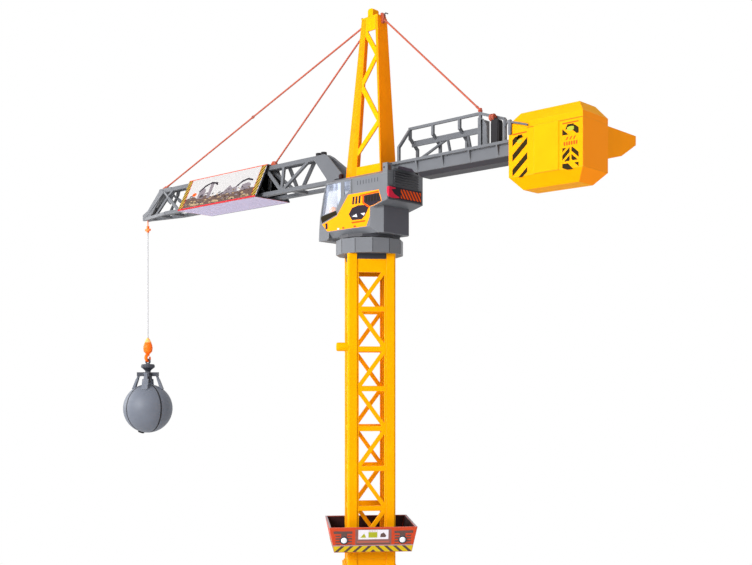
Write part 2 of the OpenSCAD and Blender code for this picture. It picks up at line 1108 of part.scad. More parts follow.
base_housing();
base_legs();
tower_posts();
tower_lattice_front();
tower_lattice_right();
tower_lattice_back();
tower_lattice_left();
tower_cap();
slew_collar();
tray_floor();
tray_ends();
tray_sides();
slew_plate();
machine_house();
cab_base();
cab_sides();
cab_front();
cab_glass();
turret_deck();
engine_cover();
mast_plates();
mast_lattices();
mast_head();
jib_lattice_near();
jib_lattice_far();
jib_bottom();
jib_spine();
jib_nose();
billboard_faces();
billboard_edges();
counter_jib();
deck_rail();
winch_motor();
tub_sides();
tub_ends();
tub_floor();
tub_spout();
stay_ropes();
hoist_rope();
rope_clip();
hook_block();
hook();
grab_head();
petal_1();
petal_2();
petal_3();
petal_4();
tub_lid();
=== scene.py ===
# Looks of the toy tower crane: plastics, prints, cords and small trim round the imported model.
# Metres, in the model's own frame: -X is the jib, +X the counter-jib, -Y the side the camera sees.
import random
from math import atan2, cos, degrees, hypot, pi, radians, sin, sqrt

import bmesh
import bpy
from mathutils import Matrix, Vector


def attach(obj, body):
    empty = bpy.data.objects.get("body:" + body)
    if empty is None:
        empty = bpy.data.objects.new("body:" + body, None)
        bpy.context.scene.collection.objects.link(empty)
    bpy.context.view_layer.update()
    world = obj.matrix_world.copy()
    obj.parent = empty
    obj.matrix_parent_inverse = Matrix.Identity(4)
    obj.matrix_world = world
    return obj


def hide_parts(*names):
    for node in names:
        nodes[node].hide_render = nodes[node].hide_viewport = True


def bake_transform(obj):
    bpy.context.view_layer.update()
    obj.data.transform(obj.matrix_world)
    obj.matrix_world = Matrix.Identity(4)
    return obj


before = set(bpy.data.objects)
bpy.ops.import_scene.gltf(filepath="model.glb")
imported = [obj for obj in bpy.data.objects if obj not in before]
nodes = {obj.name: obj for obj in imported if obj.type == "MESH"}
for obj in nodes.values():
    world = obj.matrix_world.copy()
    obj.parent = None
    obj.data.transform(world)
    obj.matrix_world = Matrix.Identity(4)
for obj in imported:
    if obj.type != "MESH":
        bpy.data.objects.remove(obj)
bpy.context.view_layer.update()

MM = 0.001


def link(thing):
    bpy.context.scene.collection.objects.link(thing)


# Camera

PHOTO_W, PHOTO_H = 752, 565
FOCAL_PX = 1000.0
HORIZON_PX = 377.0
SENSOR = 36.0
CAMERA_AT = Vector((1.3683, -1.4588, 0.468))
LOOK = Vector((-0.6794, 0.7337, 0.0)).normalized()


def make_camera():
    data = bpy.data.cameras.new("camera")
    data.sensor_width = SENSOR
    data.lens = SENSOR * FOCAL_PX / PHOTO_W
    data.shift_y = (HORIZON_PX - PHOTO_H / 2) / PHOTO_W
    data.clip_start = 0.05
    data.clip_end = 50.0
    camera = bpy.data.objects.new("camera", data)
    link(camera)
    camera.rotation_mode = "QUATERNION"
    camera.rotation_quaternion = LOOK.to_track_quat("-Z", "Y")
    camera.location = CAMERA_AT
    bpy.context.scene.camera = camera


# Materials

EDGE_RADIUS = 1.1 * MM
GLOW_DEPTH = 4 * MM
GRAIN_DEPTH = 0.4 * MM
# Noise periods per metre: flow marks, grain, streaks in the glass, print dots
FLOW_SCALE, GRAIN_SCALE, STREAK_SCALE, DOT_SCALE = 14.0, 900.0, 55.0, 1500.0


def srgb(r, g, b):
    """A colour given as 0 to 255 values, in linear light."""
    parts = []
    for v in (r, g, b):
        c = v / 255
        parts.append(c / 12.92 if c <= 0.04045 else ((c + 0.055) / 1.055) ** 2.4)
    return (*parts, 1.0)


def set_inputs(node, values):
    for name, value in values.items():
        node.inputs[name].default_value = value


def mix_colour(tree, factor, a, b):
    node = tree.nodes.new("ShaderNodeMix")
    node.data_type = "RGBA"
    for socket, value in ((node.inputs[0], factor), (node.inputs[6], a), (node.inputs[7], b)):
        if isinstance(value, bpy.types.NodeSocket):
            tree.links.new(value, socket)
        else:
            socket.default_value = value
    return node.outputs[2]


def noise(tree, coords, scale, detail=2.0, rough=0.5):
    node = tree.nodes.new("ShaderNodeTexNoise")
    set_inputs(node, {"Scale": scale, "Detail": detail, "Roughness": rough})
    tree.links.new(coords, node.inputs["Vector"])
    return node.outputs["Fac"]


def remap(tree, value, low, high, to_low=0.0, to_high=1.0):
    node = tree.nodes.new("ShaderNodeMapRange")
    tree.links.new(value, node.inputs["Value"])
    set_inputs(node, {"From Min": low, "From Max": high, "To Min": to_low, "To Max": to_high})
    return node.outputs["Result"]


def edge_mask(tree):
    """1 along the edges of the plastic and 0 on its flats, and the rounded normal."""
    bevel = tree.nodes.new("ShaderNodeBevel")
    bevel.samples = 8
    bevel.inputs["Radius"].default_value = EDGE_RADIUS
    geometry = tree.nodes.new("ShaderNodeNewGeometry")
    dot = tree.nodes.new("ShaderNodeVectorMath")
    dot.operation = "DOT_PRODUCT"
    tree.links.new(bevel.outputs["Normal"], dot.inputs[0])
    tree.links.new(geometry.outputs["Normal"], dot.inputs[1])
    return remap(tree, dot.outputs["Value"], 0.995, 0.80), bevel.outputs["Normal"]


def shifted(colour, change):
    """A colour with each of its parts changed, at most to full."""
    return tuple(min(1.0, change(c)) for c in colour[:3]) + (1.0,)


def new_material(name):
    """A material, its tree, its shader and the coordinates of the piece that it is on."""
    material = bpy.data.materials.new(name)
    material.use_nodes = True
    tree = material.node_tree
    coords = tree.nodes.new("ShaderNodeTexCoord").outputs["Object"]
    return material, tree, tree.nodes["Principled BSDF"], coords


def plastic(name, rgb, rough=0.45, grain=0.015, vary=0.05, edge=0.12, specular=0.35, sss=0.0):
    """Moulded plastic: faint flow marks, a fine grain, softened edges, and slightly paler edges
    that are partly a painted highlight where they catch the light and partly whitening wear.
    """
    colour = srgb(*rgb)
    material, tree, shader, coords = new_material(name)
    material.diffuse_color = colour
    flow = noise(tree, coords, FLOW_SCALE, 3.0, 0.6)
    speck = noise(tree, coords, GRAIN_SCALE)
    darker = shifted(colour, lambda c: c * (1 - 2 * vary))
    base = mix_colour(tree, remap(tree, flow, 0.3, 0.7), colour, darker)
    mask, soft_normal = edge_mask(tree)
    # Paler edges: partly a painted highlight along the edges, partly whitening wear.
    base = mix_colour(tree, mask, base, shifted(colour, lambda c: c + (1 - c) * edge))
    tree.links.new(base, shader.inputs["Base Color"])
    tree.links.new(
        remap(tree, speck, 0.3, 0.7, rough - 0.05, rough + 0.06), shader.inputs["Roughness"],
    )
    shader.inputs["Specular IOR Level"].default_value = specular
    if sss > 0:
        set_inputs(shader, {
            "Subsurface Weight": sss, "Subsurface Radius": (1.0, 0.35, 0.1),
            "Subsurface Scale": GLOW_DEPTH,
        })
    bump = tree.nodes.new("ShaderNodeBump")
    set_inputs(bump, {"Strength": grain, "Distance": GRAIN_DEPTH})
    tree.links.new(speck, bump.inputs["Height"])
    tree.links.new(soft_normal, bump.inputs["Normal"])
    tree.links.new(bump.outputs["Normal"], shader.inputs["Normal"])
    return material


def glass(name, colour, alpha):
    """Clear moulded glazing, seen through, with faint wide streaks."""
    material, tree, shader, coords = new_material(name)
    turn = tree.nodes.new("ShaderNodeMapping")
    set_inputs(turn, {"Rotation": (0.0, radians(-32), 0.0), "Scale": (1.0, 0.1, 0.12)})
    tree.links.new(coords, turn.inputs["Vector"])
    streak = noise(tree, turn.outputs["Vector"], STREAK_SCALE, 1.0)
    bright = shifted(colour, lambda c: c * 1.25)
    tint = mix_colour(tree, remap(tree, streak, 0.4, 0.62), colour, bright)
    tree.links.new(tint, shader.inputs["Base Color"])
    tree.links.new(remap(tree, streak, 0.46, 0.6, alpha, alpha + 0.3), shader.inputs["Alpha"])
    shader.inputs["Roughness"].default_value = 0.08
    return material


def print_ink(name, colour):
    """Ink of a printed sticker: a faint screen of fine dots in its colour."""
    material, tree, shader, coords = new_material(name)
    material.diffuse_color = colour
    dots = noise(tree, coords, DOT_SCALE, 1.0)
    other = shifted(colour, lambda c: c * 0.975)
    base = mix_colour(tree, remap(tree, dots, 0.35, 0.65), colour, other)
    tree.links.new(base, shader.inputs["Base Color"])
    set_inputs(shader, {"Roughness": 0.45, "Specular IOR Level": 0.05})
    return material


def tower_plastic(name, r, g, b):
    """The matt yellows and oranges of the tower, the mast and the tub; the oranges are the yellow
    with painted shade.
    """
    return plastic(name, (r, g, b), rough=0.5, specular=0.03, sss=0.1, edge=0.03)


YELLOW = tower_plastic("tower_yellow", 240, 158, 0)
# The yellow plastic as it looks in deeper shade: painted shade on the spout, and the same colour on
# the cab's dash.
ORANGE = tower_plastic("shade_orange", 255, 150, 0)
# The mast's plates: the yellow plastic made deeper orange as painted shade, for plates that lie in
# shade.
MAST_PAINTED_SHADE = tower_plastic("mast_painted_shade", 250, 140, 0)
LEMON = tower_plastic("mast_lemon", 232, 160, 0)
GREY = plastic("moulded_grey", (102, 104, 109), specular=0.25)
# The moulded grey made darker as painted shade, for the jib, the counter-jib, the rail and their
# trim.
GREY_IN_PAINTED_SHADE = plastic("grey_painted_shade", (92, 94, 99), specular=0.25)
CLIP = plastic("clip_brown", (160, 66, 38), rough=0.5, specular=0.15)
DARK = plastic("dark_grey", (48, 48, 54), specular=0.25)
BLACK = plastic("soft_black", (24, 22, 26), rough=0.5, edge=0.03, specular=0.15)
RED = plastic("tray_red", (190, 66, 34), specular=0.15, sss=0.1)
MAROON = plastic("tray_inside", (44, 20, 22), rough=0.6, edge=0.02, specular=0.1)
HOOK = plastic("hook_orange", (255, 112, 16), rough=0.4, specular=0.15, sss=0.15)
HOOK_PALE = plastic("hook_pale", (255, 178, 104), rough=0.4, specular=0.15, sss=0.15)
BALL = plastic("ball_grey", (98, 103, 114), rough=0.5)
HEAD = plastic("head_grey", (54, 57, 66), specular=0.3)
CORD_RED = plastic("stay_cord", (170, 76, 50), rough=0.8, grain=0.3, specular=0.1)
CORD_PALE = plastic("hoist_cord", (176, 176, 180), rough=0.7, grain=0.0, vary=0.06, specular=0.1)
LENS = plastic("lamp_white", (225, 228, 236), rough=0.2, vary=0.01)
GLASS = glass("cab_glazing", srgb(190, 200, 222), 0.16)
BOARD = plastic("board_white", (176, 174, 190), rough=0.5, vary=0.02, specular=0.2)

# Two of these inks are painted shade, not print: the deeper orange on the tub's end and the darker
# grey on the back of the house.
INK_RGB = {
    "yellow": (255, 150, 6), "lemon": (196, 168, 30), "black": (34, 28, 14), "coal": (40, 34, 42),
    "orange": (216, 76, 14), "red": (176, 30, 44), "white": (214, 210, 216), "amber_painted_shade": (255, 145, 0),
    "painted_shade_grey": (84, 84, 91), "crimson": (196, 34, 62), "sky": (170, 168, 168), "ash": (92, 72, 68),
    "mauve": (128, 88, 84), "rose": (168, 92, 78), "haze": (150, 138, 146), "lime": (158, 160, 44),
    "olive": (38, 30, 2), "straw": (170, 138, 52), "slate": (62, 63, 70), "ochre": (176, 104, 4),
    "lilac": (194, 186, 214), "brown": (84, 66, 60), "stone": (112, 104, 110),
    "sand": (150, 128, 98),
}
INK = {name: print_ink("ink_" + name, srgb(*rgb)) for name, rgb in INK_RGB.items()}

NODE_MATERIAL = {
    YELLOW: [
        "base_housing", "tower_posts", "tower_lattice_front", "tower_lattice_right",
        "tower_lattice_back", "tower_lattice_left", "mast_head",
        "tub_sides", "tub_ends", "tub_floor", "tub_lid",
    ],
    # The mast's plates take the yellow in painted shade.
    MAST_PAINTED_SHADE: ["mast_plates"],
    # The spout takes the yellow in painted shade.
    ORANGE: ["tub_spout"],
    LEMON: ["mast_lattices"],
    GREY: [
        "base_legs", "slew_collar", "machine_house", "cab_base",
        "cab_sides", "cab_front", "turret_deck",
    ],
    # The jib, the counter-jib and the rail take the grey in painted shade.
    GREY_IN_PAINTED_SHADE: [
        "jib_lattice_near", "jib_lattice_far", "jib_bottom", "jib_spine", "jib_nose",
        "counter_jib", "deck_rail",
    ],
    # On slew_plate the dark grey is a painted shadow in the gap under the house, and on
    # engine_cover it is painted shade on the back of the house.
    DARK: ["tower_cap", "slew_plate", "engine_cover", "winch_motor"],
    HEAD: ["grab_head"],
    RED: ["tray_floor", "tray_ends", "tray_sides", "billboard_edges"],
    BOARD: ["billboard_faces"],
    GLASS: ["cab_glass"],
    CORD_RED: ["stay_ropes"],
    CORD_PALE: ["hoist_rope"],
    HOOK: ["rope_clip", "hook_block", "hook"],
    BALL: ["petal_1", "petal_2", "petal_3", "petal_4"],
}


def dress_nodes():
    for material, names in NODE_MATERIAL.items():
        for name in names:
            data = nodes[name].data
            data.materials.clear()
            data.materials.append(material)


# Geometry: all sizes are in millimetres, and every add_ call puts a closed solid in a mesh

SHARP_ANGLE = radians(35)
INK_SUNK, INK_RISE, INK_STEP = 0.3, 0.12, 0.07


def plane(origin, u, v, turn=0.0):
    """Maps millimetres along u and v, and out of the plane, to a point in metres."""
    spin = Matrix.Rotation(radians(turn), 3, "Z")
    origin = Vector(origin)
    u, v = Vector(u).normalized(), Vector(v).normalized()
    out = u.cross(v)

    def place(a, b, h=0.0):
        return spin @ (origin + u * a + v * b + out * h) * MM

    return place


def upright(y):
    """Plane that faces -Y, with u along X and v up."""
    return plane((0, y, 0), (1, 0, 0), (0, 0, 1))


def crosswise(x):
    """Plane that faces +X, with u along Y and v up."""
    return plane((x, 0, 0), (0, 1, 0), (0, 0, 1))


def flank(y):
    """Plane of a side wall in X and Z, its outside away from the middle of the crane."""
    if y < 0:
        return upright(y)
    far = plane((0, y, 0), (-1, 0, 0), (0, 0, 1))
    return lambda a, b, h=0.0: far(-a, b, h)


def add_slab(mesh, place, outline, low, high):
    bottom = [mesh.verts.new(place(u, v, low)) for u, v in outline]
    top = [mesh.verts.new(place(u, v, high)) for u, v in outline]
    mesh.faces.new(bottom)
    mesh.faces.new(top)
    for i in range(len(outline)):
        j = (i + 1) % len(outline)
        mesh.faces.new((bottom[i], bottom[j], top[j], top[i]))


def rectangle(u0, v0, u1, v1):
    return [(u0, v0), (u1, v0), (u1, v1), (u0, v1)]


def ellipse(u, v, ru, rv, count):
    return [
        (u + ru * cos(2 * pi * i / count), v + rv * sin(2 * pi * i / count))
        for i in range(count)
    ]


def quarter_turns(outline, count):
    c, s = cos(count * pi / 2), sin(count * pi / 2)
    return [(c * u - s * v, s * u + c * v) for u, v in outline]


def clip(outline, region):
    """The part of an outline inside a convex counterclockwise region."""
    for i, (ax, ay) in enumerate(region):
        bx, by = region[(i + 1) % len(region)]

        def side(p):
            return (bx - ax) * (p[1] - ay) - (by - ay) * (p[0] - ax)

        kept = []
        for j, p in enumerate(outline):
            q = outline[(j + 1) % len(outline)]
            sp, sq = side(p), side(q)
            if sp >= 0:
                kept.append(p)
            if (sp > 0 > sq) or (sp < 0 < sq):
                t = sp / (sp - sq)
                kept.append((p[0] + (q[0] - p[0]) * t, p[1] + (q[1] - p[1]) * t))
        outline = kept
        if len(outline) < 3:
            return []
    return outline


def leaning(u, width, shift, low, high):
    """A stripe from low to high that shifts along u."""
    return [(u, low), (u + width, low), (u + width + shift, high), (u + shift, high)]


def climbing(u0, u1, v, rise, width):
    """A stripe from u0 to u1 that rises along v."""
    return [(u0, v), (u1, v + rise), (u1, v + rise + width), (u0, v + width)]


def slanted(region, pitch, width, lean, start):
    """Slanted stripes in a convex region; lean is how far a stripe shifts along u per unit of v."""
    us = [p[0] for p in region]
    vs = [p[1] for p in region]
    low, high = min(vs), max(vs)
    shift = lean * (high - low)
    reach = abs(shift)
    u = min(us) - reach + start
    while u < max(us) + reach:
        stripe = clip(leaning(u, width, shift, low, high), region)
        if stripe:
            yield stripe
        u += pitch


def add_rings(mesh, rings):
    """A solid through rings of points, each with the same count."""
    rings = [[mesh.verts.new(Vector(p) * MM) for p in ring] for ring in rings]
    for low, high in zip(rings, rings[1:]):
        for k in range(len(low)):
            j = (k + 1) % len(low)
            mesh.faces.new((low[k], low[j], high[j], high[k]))
    mesh.faces.new(rings[0])
    mesh.faces.new(rings[-1])


def ring_round(centre, across, third, radius, sides, ridge=0.0):
    """Points of a circle in the plane of two unit vectors; a ridge pushes out every other one."""
    ring = []
    for k in range(sides):
        a = 2 * pi * k / sides
        out = across * cos(a) + third * sin(a)
        ring.append(centre + out * (radius + ridge * (k % 2)))
    return ring


def add_lathe(mesh, at, axis, profile, sides, ridge=0.0):
    """A turned solid: the profile is (radius, height) along the axis; a ridge makes it knurled."""
    axis = Vector(axis).normalized()
    across = axis.orthogonal().normalized()
    third = axis.cross(across)
    add_rings(mesh, [
        ring_round(Vector(at) + axis * h, across, third, r, sides, ridge) for r, h in profile
    ])


def add_tube(mesh, path, radius, sides=8, offset=0.0, phase=0.0, twist=0.0):
    """A round bar along points; offset and twist wind it round the path as a strand."""
    points = [Vector(p) for p in path]
    rings = []
    across = None
    walked = 0.0
    for i, point in enumerate(points):
        ahead = points[min(i + 1, len(points) - 1)] - points[max(i - 1, 0)]
        ahead.normalize()
        if across is None:
            across = ahead.orthogonal().normalized()
        else:
            across = (across - ahead * across.dot(ahead)).normalized()
            walked += (point - points[i - 1]).length
        third = ahead.cross(across)
        turn = phase + twist * walked
        centre = point + (across * cos(turn) + third * sin(turn)) * offset
        rings.append(ring_round(centre, across, third, radius, sides))
    add_rings(mesh, rings)


def add_cord(mesh, start, end, radius, pitch, deep):
    """Three twisted strands from start to end; deep is how far they stand out."""
    start, end = Vector(start), Vector(end)
    count = round((end - start).length / (pitch / 9))
    points = [start] + [start.lerp(end, (i + 1) / count) for i in range(count)]
    for strand in range(3):
        add_tube(
            mesh, points, radius * (1.04 - deep), offset=radius * deep,
            phase=2 * pi * strand / 3, twist=2 * pi / pitch,
        )


def add_block(mesh, place, outline, low, high, soften):
    """A slab with its edges rounded off."""
    before = set(mesh.verts)
    add_slab(mesh, place, outline, low, high)
    fresh = [v for v in mesh.verts if v not in before]
    edges = list({e for v in fresh for e in v.link_edges})
    bmesh.ops.bevel(
        mesh, geom=edges, offset=soften * MM, segments=2, affect="EDGES", clamp_overlap=True,
    )


def make_piece(name, body, material, mesh, smooth=True):
    bmesh.ops.recalc_face_normals(mesh, faces=mesh.faces)
    data = bpy.data.meshes.new(name)
    mesh.to_mesh(data)
    mesh.free()
    data.materials.append(material)
    if smooth:
        data.shade_smooth()
        data.set_sharp_from_angle(angle=SHARP_ANGLE)
    piece = bpy.data.objects.new(name, data)
    link(piece)
    if body:
        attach(piece, body)
    return piece


def block_piece(name, body, material, blocks):
    """A piece of rounded blocks, each (place, outline, low, high, soften)."""
    mesh = bmesh.new()
    for block in blocks:
        add_block(mesh, *block)
    return make_piece(name, body, material, mesh)


def lathe_piece(name, body, material, at, axis, profile, sides, ridge=0.0):
    mesh = bmesh.new()
    add_lathe(mesh, at, axis, profile, sides, ridge)
    make_piece(name, body, material, mesh)


def print_layer(name, body, marks, ink, layer):
    """Printed areas of one colour; each layer lies a little over the one under it."""
    mesh = bmesh.new()
    for place, outline in marks:
        add_slab(mesh, place, outline, -INK_SUNK, INK_RISE + INK_STEP * layer)
    make_piece(name, body, INK[ink], mesh, smooth=False)


def print_layers(prefix, body, layers):
    """Prints a table of (end of the piece's name, marks, ink, layer)."""
    for end, marks, ink, layer in layers:
        print_layer(prefix + end, body, marks, ink, layer)


# Places that several pieces share

TOWER_TURN = 48.3
CAB_SIDE = 52
HOUSE_REAR, DECK_BACK, BUMPER_X = 72, 95, 99
TUB_SIDE, TUB_END = 40, 512
TUB_FOOT, TUB_LOW, TUB_RIM, LID_TOP = 790, 811, 892, 902
BASE_HALF, BASE_TOP = 52, 97
TRAY_FOOT, TRAY_TOP, TRAY_Z, TRAY_H = 75, 85, 131, 49
TRAY_WALL, LAMP_U, LAMP_V = 4, 56.4, 24.6
MAST_FOOT, MAST_RISE = 868, 311
BOARD_X0, BOARD_X1 = -572, -292
BOARD_LOW, BOARD_HIGH, BOARD_Z, BOARD_TOP = 51, 15, 858, 934
BOARD_END, STRIPE_STEP, STRIPE_RISE, STRIPE_WIDE = 17, 10.5, 15, 4.6
ROPE_X = -766
TIP_PEG = (-688, 0, 931)
MID_PEG = (-287, 0, 929)
RAIL_PEG = (271, 5.5, 950)
PEG_HIGH = 4
BALL_Z, BALL_R = 389, 61
GRAB_TURN, PETAL_HALF = 42.5, 44.3
SEAM_LOW, SEAM_HIGH, SEAM_STEPS, SEAM_WIDE = 5.5, 168, 60, 1.3
HOOK_Z, HOOK_R, HOOK_TURN = 516, 8, 18
ROPE_AXIS = Vector((ROPE_X, 0, 0))


# Cab


def both_sides(y, outlines):
    return [(flank(side * y), outline) for side in (-1, 1) for outline in outlines]


def cab_prints():
    yellow, dark, black, orange, white, red, slits = [], [], [], [], [], [], []
    yellow.append([
        (-8.4, 826.7), (-40.7, 788.5), (-82.5, 775.5), (-68, 760.5), (-62, 760),
        (40, 760), (49.5, 779), (49.5, 796.5), (60, 798), (80.5, 804.5), (72.9, 826.7),
    ])
    dark.append([
        (33.9, 806.5), (49.2, 797.4), (60, 799), (79.2, 804.6), (73, 821.2), (33.9, 820),
    ])
    dark.append([
        (-7.3, 787.9), (1.6, 775.2), (28.1, 774.5), (36.8, 780.9), (48, 797), (40, 801),
        (19.3, 802.9), (1.6, 799.6),
    ])
    for x in (1.6, 10.0, 18.4):
        dark.append(leaning(x, 5.4, 1.8, 806, 821))
    dark.append(rectangle(-73, 765, -66.6, 776.6))
    orange.append([(24.3, 819.6), (73, 822.1), (72.5, 824.7), (23.7, 822.4)])
    orange.append([
        (29.5, 805.3), (47, 794.5), (49, 797), (33.9, 806.4), (33.9, 819.5), (29.5, 819.6),
    ])
    orange.append([(1.6, 769), (36, 769), (38, 772), (0, 772)])
    black.append([
        (-86, 787.5), (-82.5, 778.6), (-39.5, 791.5), (-43.2, 799), (-84.5, 792),
    ])
    for i in range(5):
        black.append(leaning(38 + 7.6 * i, 3.6, 0.8, 806.5, 818))
    for i in range(8):
        slits.append(rectangle(16 + 7.6 * i, 842.5, 17.4 + 7.6 * i, 850.5))
    black.append(rectangle(0.6, 828, 1.5, 856.5))
    white.append([(1.6, 782.6), (16.4, 780), (13.4, 786.6)])
    white.append([(25.1, 786.4), (33.9, 780.6), (36.8, 786.1)])
    white.append(rectangle(-39, 760.8, -34, 763.6))
    red.append(rectangle(6, 761.2, 12, 764))
    red.append(rectangle(-24.5, 761.2, -20, 764.2))
    for end, outlines, ink, layer in (
        ("yellow", yellow, "yellow", 0), ("slits", slits, "slate", 0), ("dark", dark, "coal", 1),
        ("orange", orange, "orange", 2), ("black", black, "black", 3), ("white", white, "white", 3),
        ("red", red, "red", 3),
    ):
        print_layer("cab_print_" + end, "turret", both_sides(CAB_SIDE, outlines), ink, layer)


def cab_inside():
    """Seat, dash and levers seen through the windows."""
    middle = upright(-14)
    block_piece("cab_seat", "turret", BLACK, [
        (middle, rectangle(-40, 790, -12, 800), -28, 0, 2.5),
        (middle, [(-20, 799), (-11, 799), (-6, 838), (-12, 838)], -28, 0, 2.5),
        (middle, [(-13, 839), (-7, 839), (-6, 848), (-11, 848)], -21, -7, 1.5),
    ])
    dash = [(-76, 790), (-58, 790), (-56, 806), (-66, 812), (-76, 806)]
    block_piece("cab_dash", "turret", ORANGE, [(upright(-40), dash, -80, 0, 1.5)])
    levers = bmesh.new()
    for y in (-30, -8, 8, 30):
        add_tube(levers, [(-62, y, 806), (-60, y, 818), (-54, y, 828)], 1.3, sides=10)
        add_lathe(
            levers, (-54, y, 826), (0.4, 0, 1),
            [(0.6, 0), (2.4, 1.2), (2.8, 3.4), (2.2, 5.6), (0.6, 6.6)], sides=16,
        )
    make_piece("cab_levers", "turret", BLACK, levers)


def bumper_prints():
    """Panels on the back of the cab, and painted shade on the back of the house."""
    back = crosswise(BUMPER_X)
    stripes = [(back, s) for s in slanted(rectangle(-18, 811, 41.5, 828.5), 9.6, 5.4, -0.75, 3)]
    wedge = [(-51.6, 830), (-51.6, 810), (-38, 808.8), (-22, 810.6), (-34, 829.6)]
    corner = [(98.6, 830), (98.6, 810), (96, 812), (93.5, 820), (94, 829.4)]
    heart = [(-45, 824.5), (-36, 816.5), (-21, 812), (-21, 829), (-30, 828)]
    print_layers("bumper_print_", "turret", (
        ("brown", [(back, rectangle(-43, 808.5, 43, 831))], "coal", 0),
        ("orange", stripes, "orange", 1),
        ("wedge", [(back, wedge), (flank(-CAB_SIDE), corner)], "crimson", 2),
        ("heart", [(back, heart)], "coal", 3),
    ))
    # Painted shade: a darker grey over the back of the house, which faces away from the light.
    rear = crosswise(HOUSE_REAR)
    print_layer("house_shade", "turret", [(rear, rectangle(-36.6, 748, 36.6, 798.4))], "painted_shade_grey", 0)


# Tub


def tub_end_shade():
    """Painted shade: deeper orange on the tub's outer end, on its wall, its bevels and its lid,
    which face away from the light.
    """
    wall = crosswise(TUB_END)
    half = TUB_SIDE - 0.1
    low = plane((TUB_END - 18, 0, TUB_FOOT), (0, 1, 0), (0.651, 0, 0.759))
    print_layer("tub_end_painted_shade", "turret", [
        (wall, rectangle(-half, TUB_LOW + 0.2, half, TUB_RIM - 0.2)),
        (low, [(-22, 0.3), (22, 0.3), (39.7, 27.4), (-39.7, 27.4)]),
    ], "amber_painted_shade", 0)
    top = plane((TUB_END, 0, LID_TOP), (0, 1, 0), (-0.669, 0, 0.743))
    print_layer("lid_end_painted_shade", "lid", [
        (wall, rectangle(-half, TUB_RIM + 0.3, half, LID_TOP - 0.1)),
        (top, [(-39.8, 0.2), (39.8, 0.2), (22, 26.7), (-22, 26.7)]),
    ], "amber_painted_shade", 0)


def tub_prints():
    line, dark, blocks, ticks, lime = [], [], [], [], []
    for y, panel in ((-TUB_SIDE, True), (TUB_SIDE, False)):
        wall = flank(y)
        left = [
            (373.8, 813), (384, 808.8), (394, 808.8), (404.1, 816), (404.1, 879.5), (373.8, 879.5),
        ]
        line.append((wall, [(374, 882.6), (403.4, 883.2), (403.4, 885.2), (374, 884.6)]))
        for low in (787, 812.2, 837.6, 863):
            stripe = clip(climbing(373.8, 404.1, low, 26, 11.5), left)
            if stripe:
                dark.append((wall, stripe))
        dark.append((wall, [(382, 874), (396, 876), (393, 881.5), (385, 881)]))
        lime.append((wall, [
            (383, 869), (387, 866.8), (393.5, 868.4), (394, 871.6), (388, 873.6), (384, 872.6),
        ]))
        if not panel:
            continue
        line.append((wall, [(473.3, 884.4), (503.9, 884.4), (503.9, 886.4), (473.3, 886.4)]))
        dark.append((wall, [(473.3, 866.2), (484.7, 866.2), (473.3, 876.4)]))
        dark.append((wall, [
            (492.5, 872.5), (500.2, 866), (504.2, 866), (504.2, 875), (496.5, 881),
        ]))
        dark.append((wall, [(479, 875), (498, 875), (494.5, 883), (483, 883)]))
        lime.append((wall, [
            (482, 873.6), (489, 871), (495.4, 873.4), (495.4, 878.4), (489, 879.4), (482.6, 878),
        ]))
        for x in (479.5, 486.5, 493.5):
            ticks.append((wall, leaning(x, 2.6, 3.2, 857.4, 862.4)))
        for i in range(6):
            x = 476 + 4.6 * i
            ticks.append((wall, rectangle(x, 848.6, x + 2.8, 854.6)))
        for x0, x1, lean in ((473.3, 487.2, 1), (490.6, 504.2, -1)):
            cell = rectangle(x0, 822.6, x1, 844.8)
            for low in (798, 811.5, 825, 838.5):
                stripe = clip(climbing(x0, x1, low, 12 * lean, 8.2), cell)
                if stripe:
                    blocks.append((wall, stripe))
        dark.append((wall, [
            (473.3, 819), (473.3, 812.4), (483, 808.4), (493.8, 808.6), (483.8, 819),
        ]))
        dark.append((wall, [(496, 818.6), (504.2, 811.4), (504.2, 818.6)]))
    # Painted shade: an ochre line along both sides just under the lid, where the lid's edge shades
    # the tub.
    seam = both_sides(TUB_SIDE, [rectangle(404, 890.3, 511.4, 891.9)])
    print_layers("tub_print_", "turret", (
        ("line", line, "orange", 0), ("dark", dark, "olive", 1), ("blocks", blocks, "olive", 1),
        ("ticks", ticks, "orange", 2), ("lime", lime, "lime", 3), ("seam", seam, "ochre", 0),
    ))


# Tray


def tray_wall(turn):
    slope = (0, TRAY_FOOT - TRAY_TOP, TRAY_H)
    return plane((0, -TRAY_FOOT, TRAY_Z), (1, 0, 0), slope, TOWER_TURN + turn)


def hazard_band(half_low, half_high, low, high):
    """Mirrored stripes that lean to the middle and meet there."""
    stripes = []
    shift = -1.1 * (high - low)
    region = [(0, low), (half_low, low), (half_high, high), (0, high)]
    for k in range(5):
        stripe = clip(leaning(-1.4 + 17.4 * k, 6.8, shift, low, high), region)
        if stripe:
            stripes += [[(side * u, v) for u, v in stripe] for side in (-1, 1)]
    return stripes


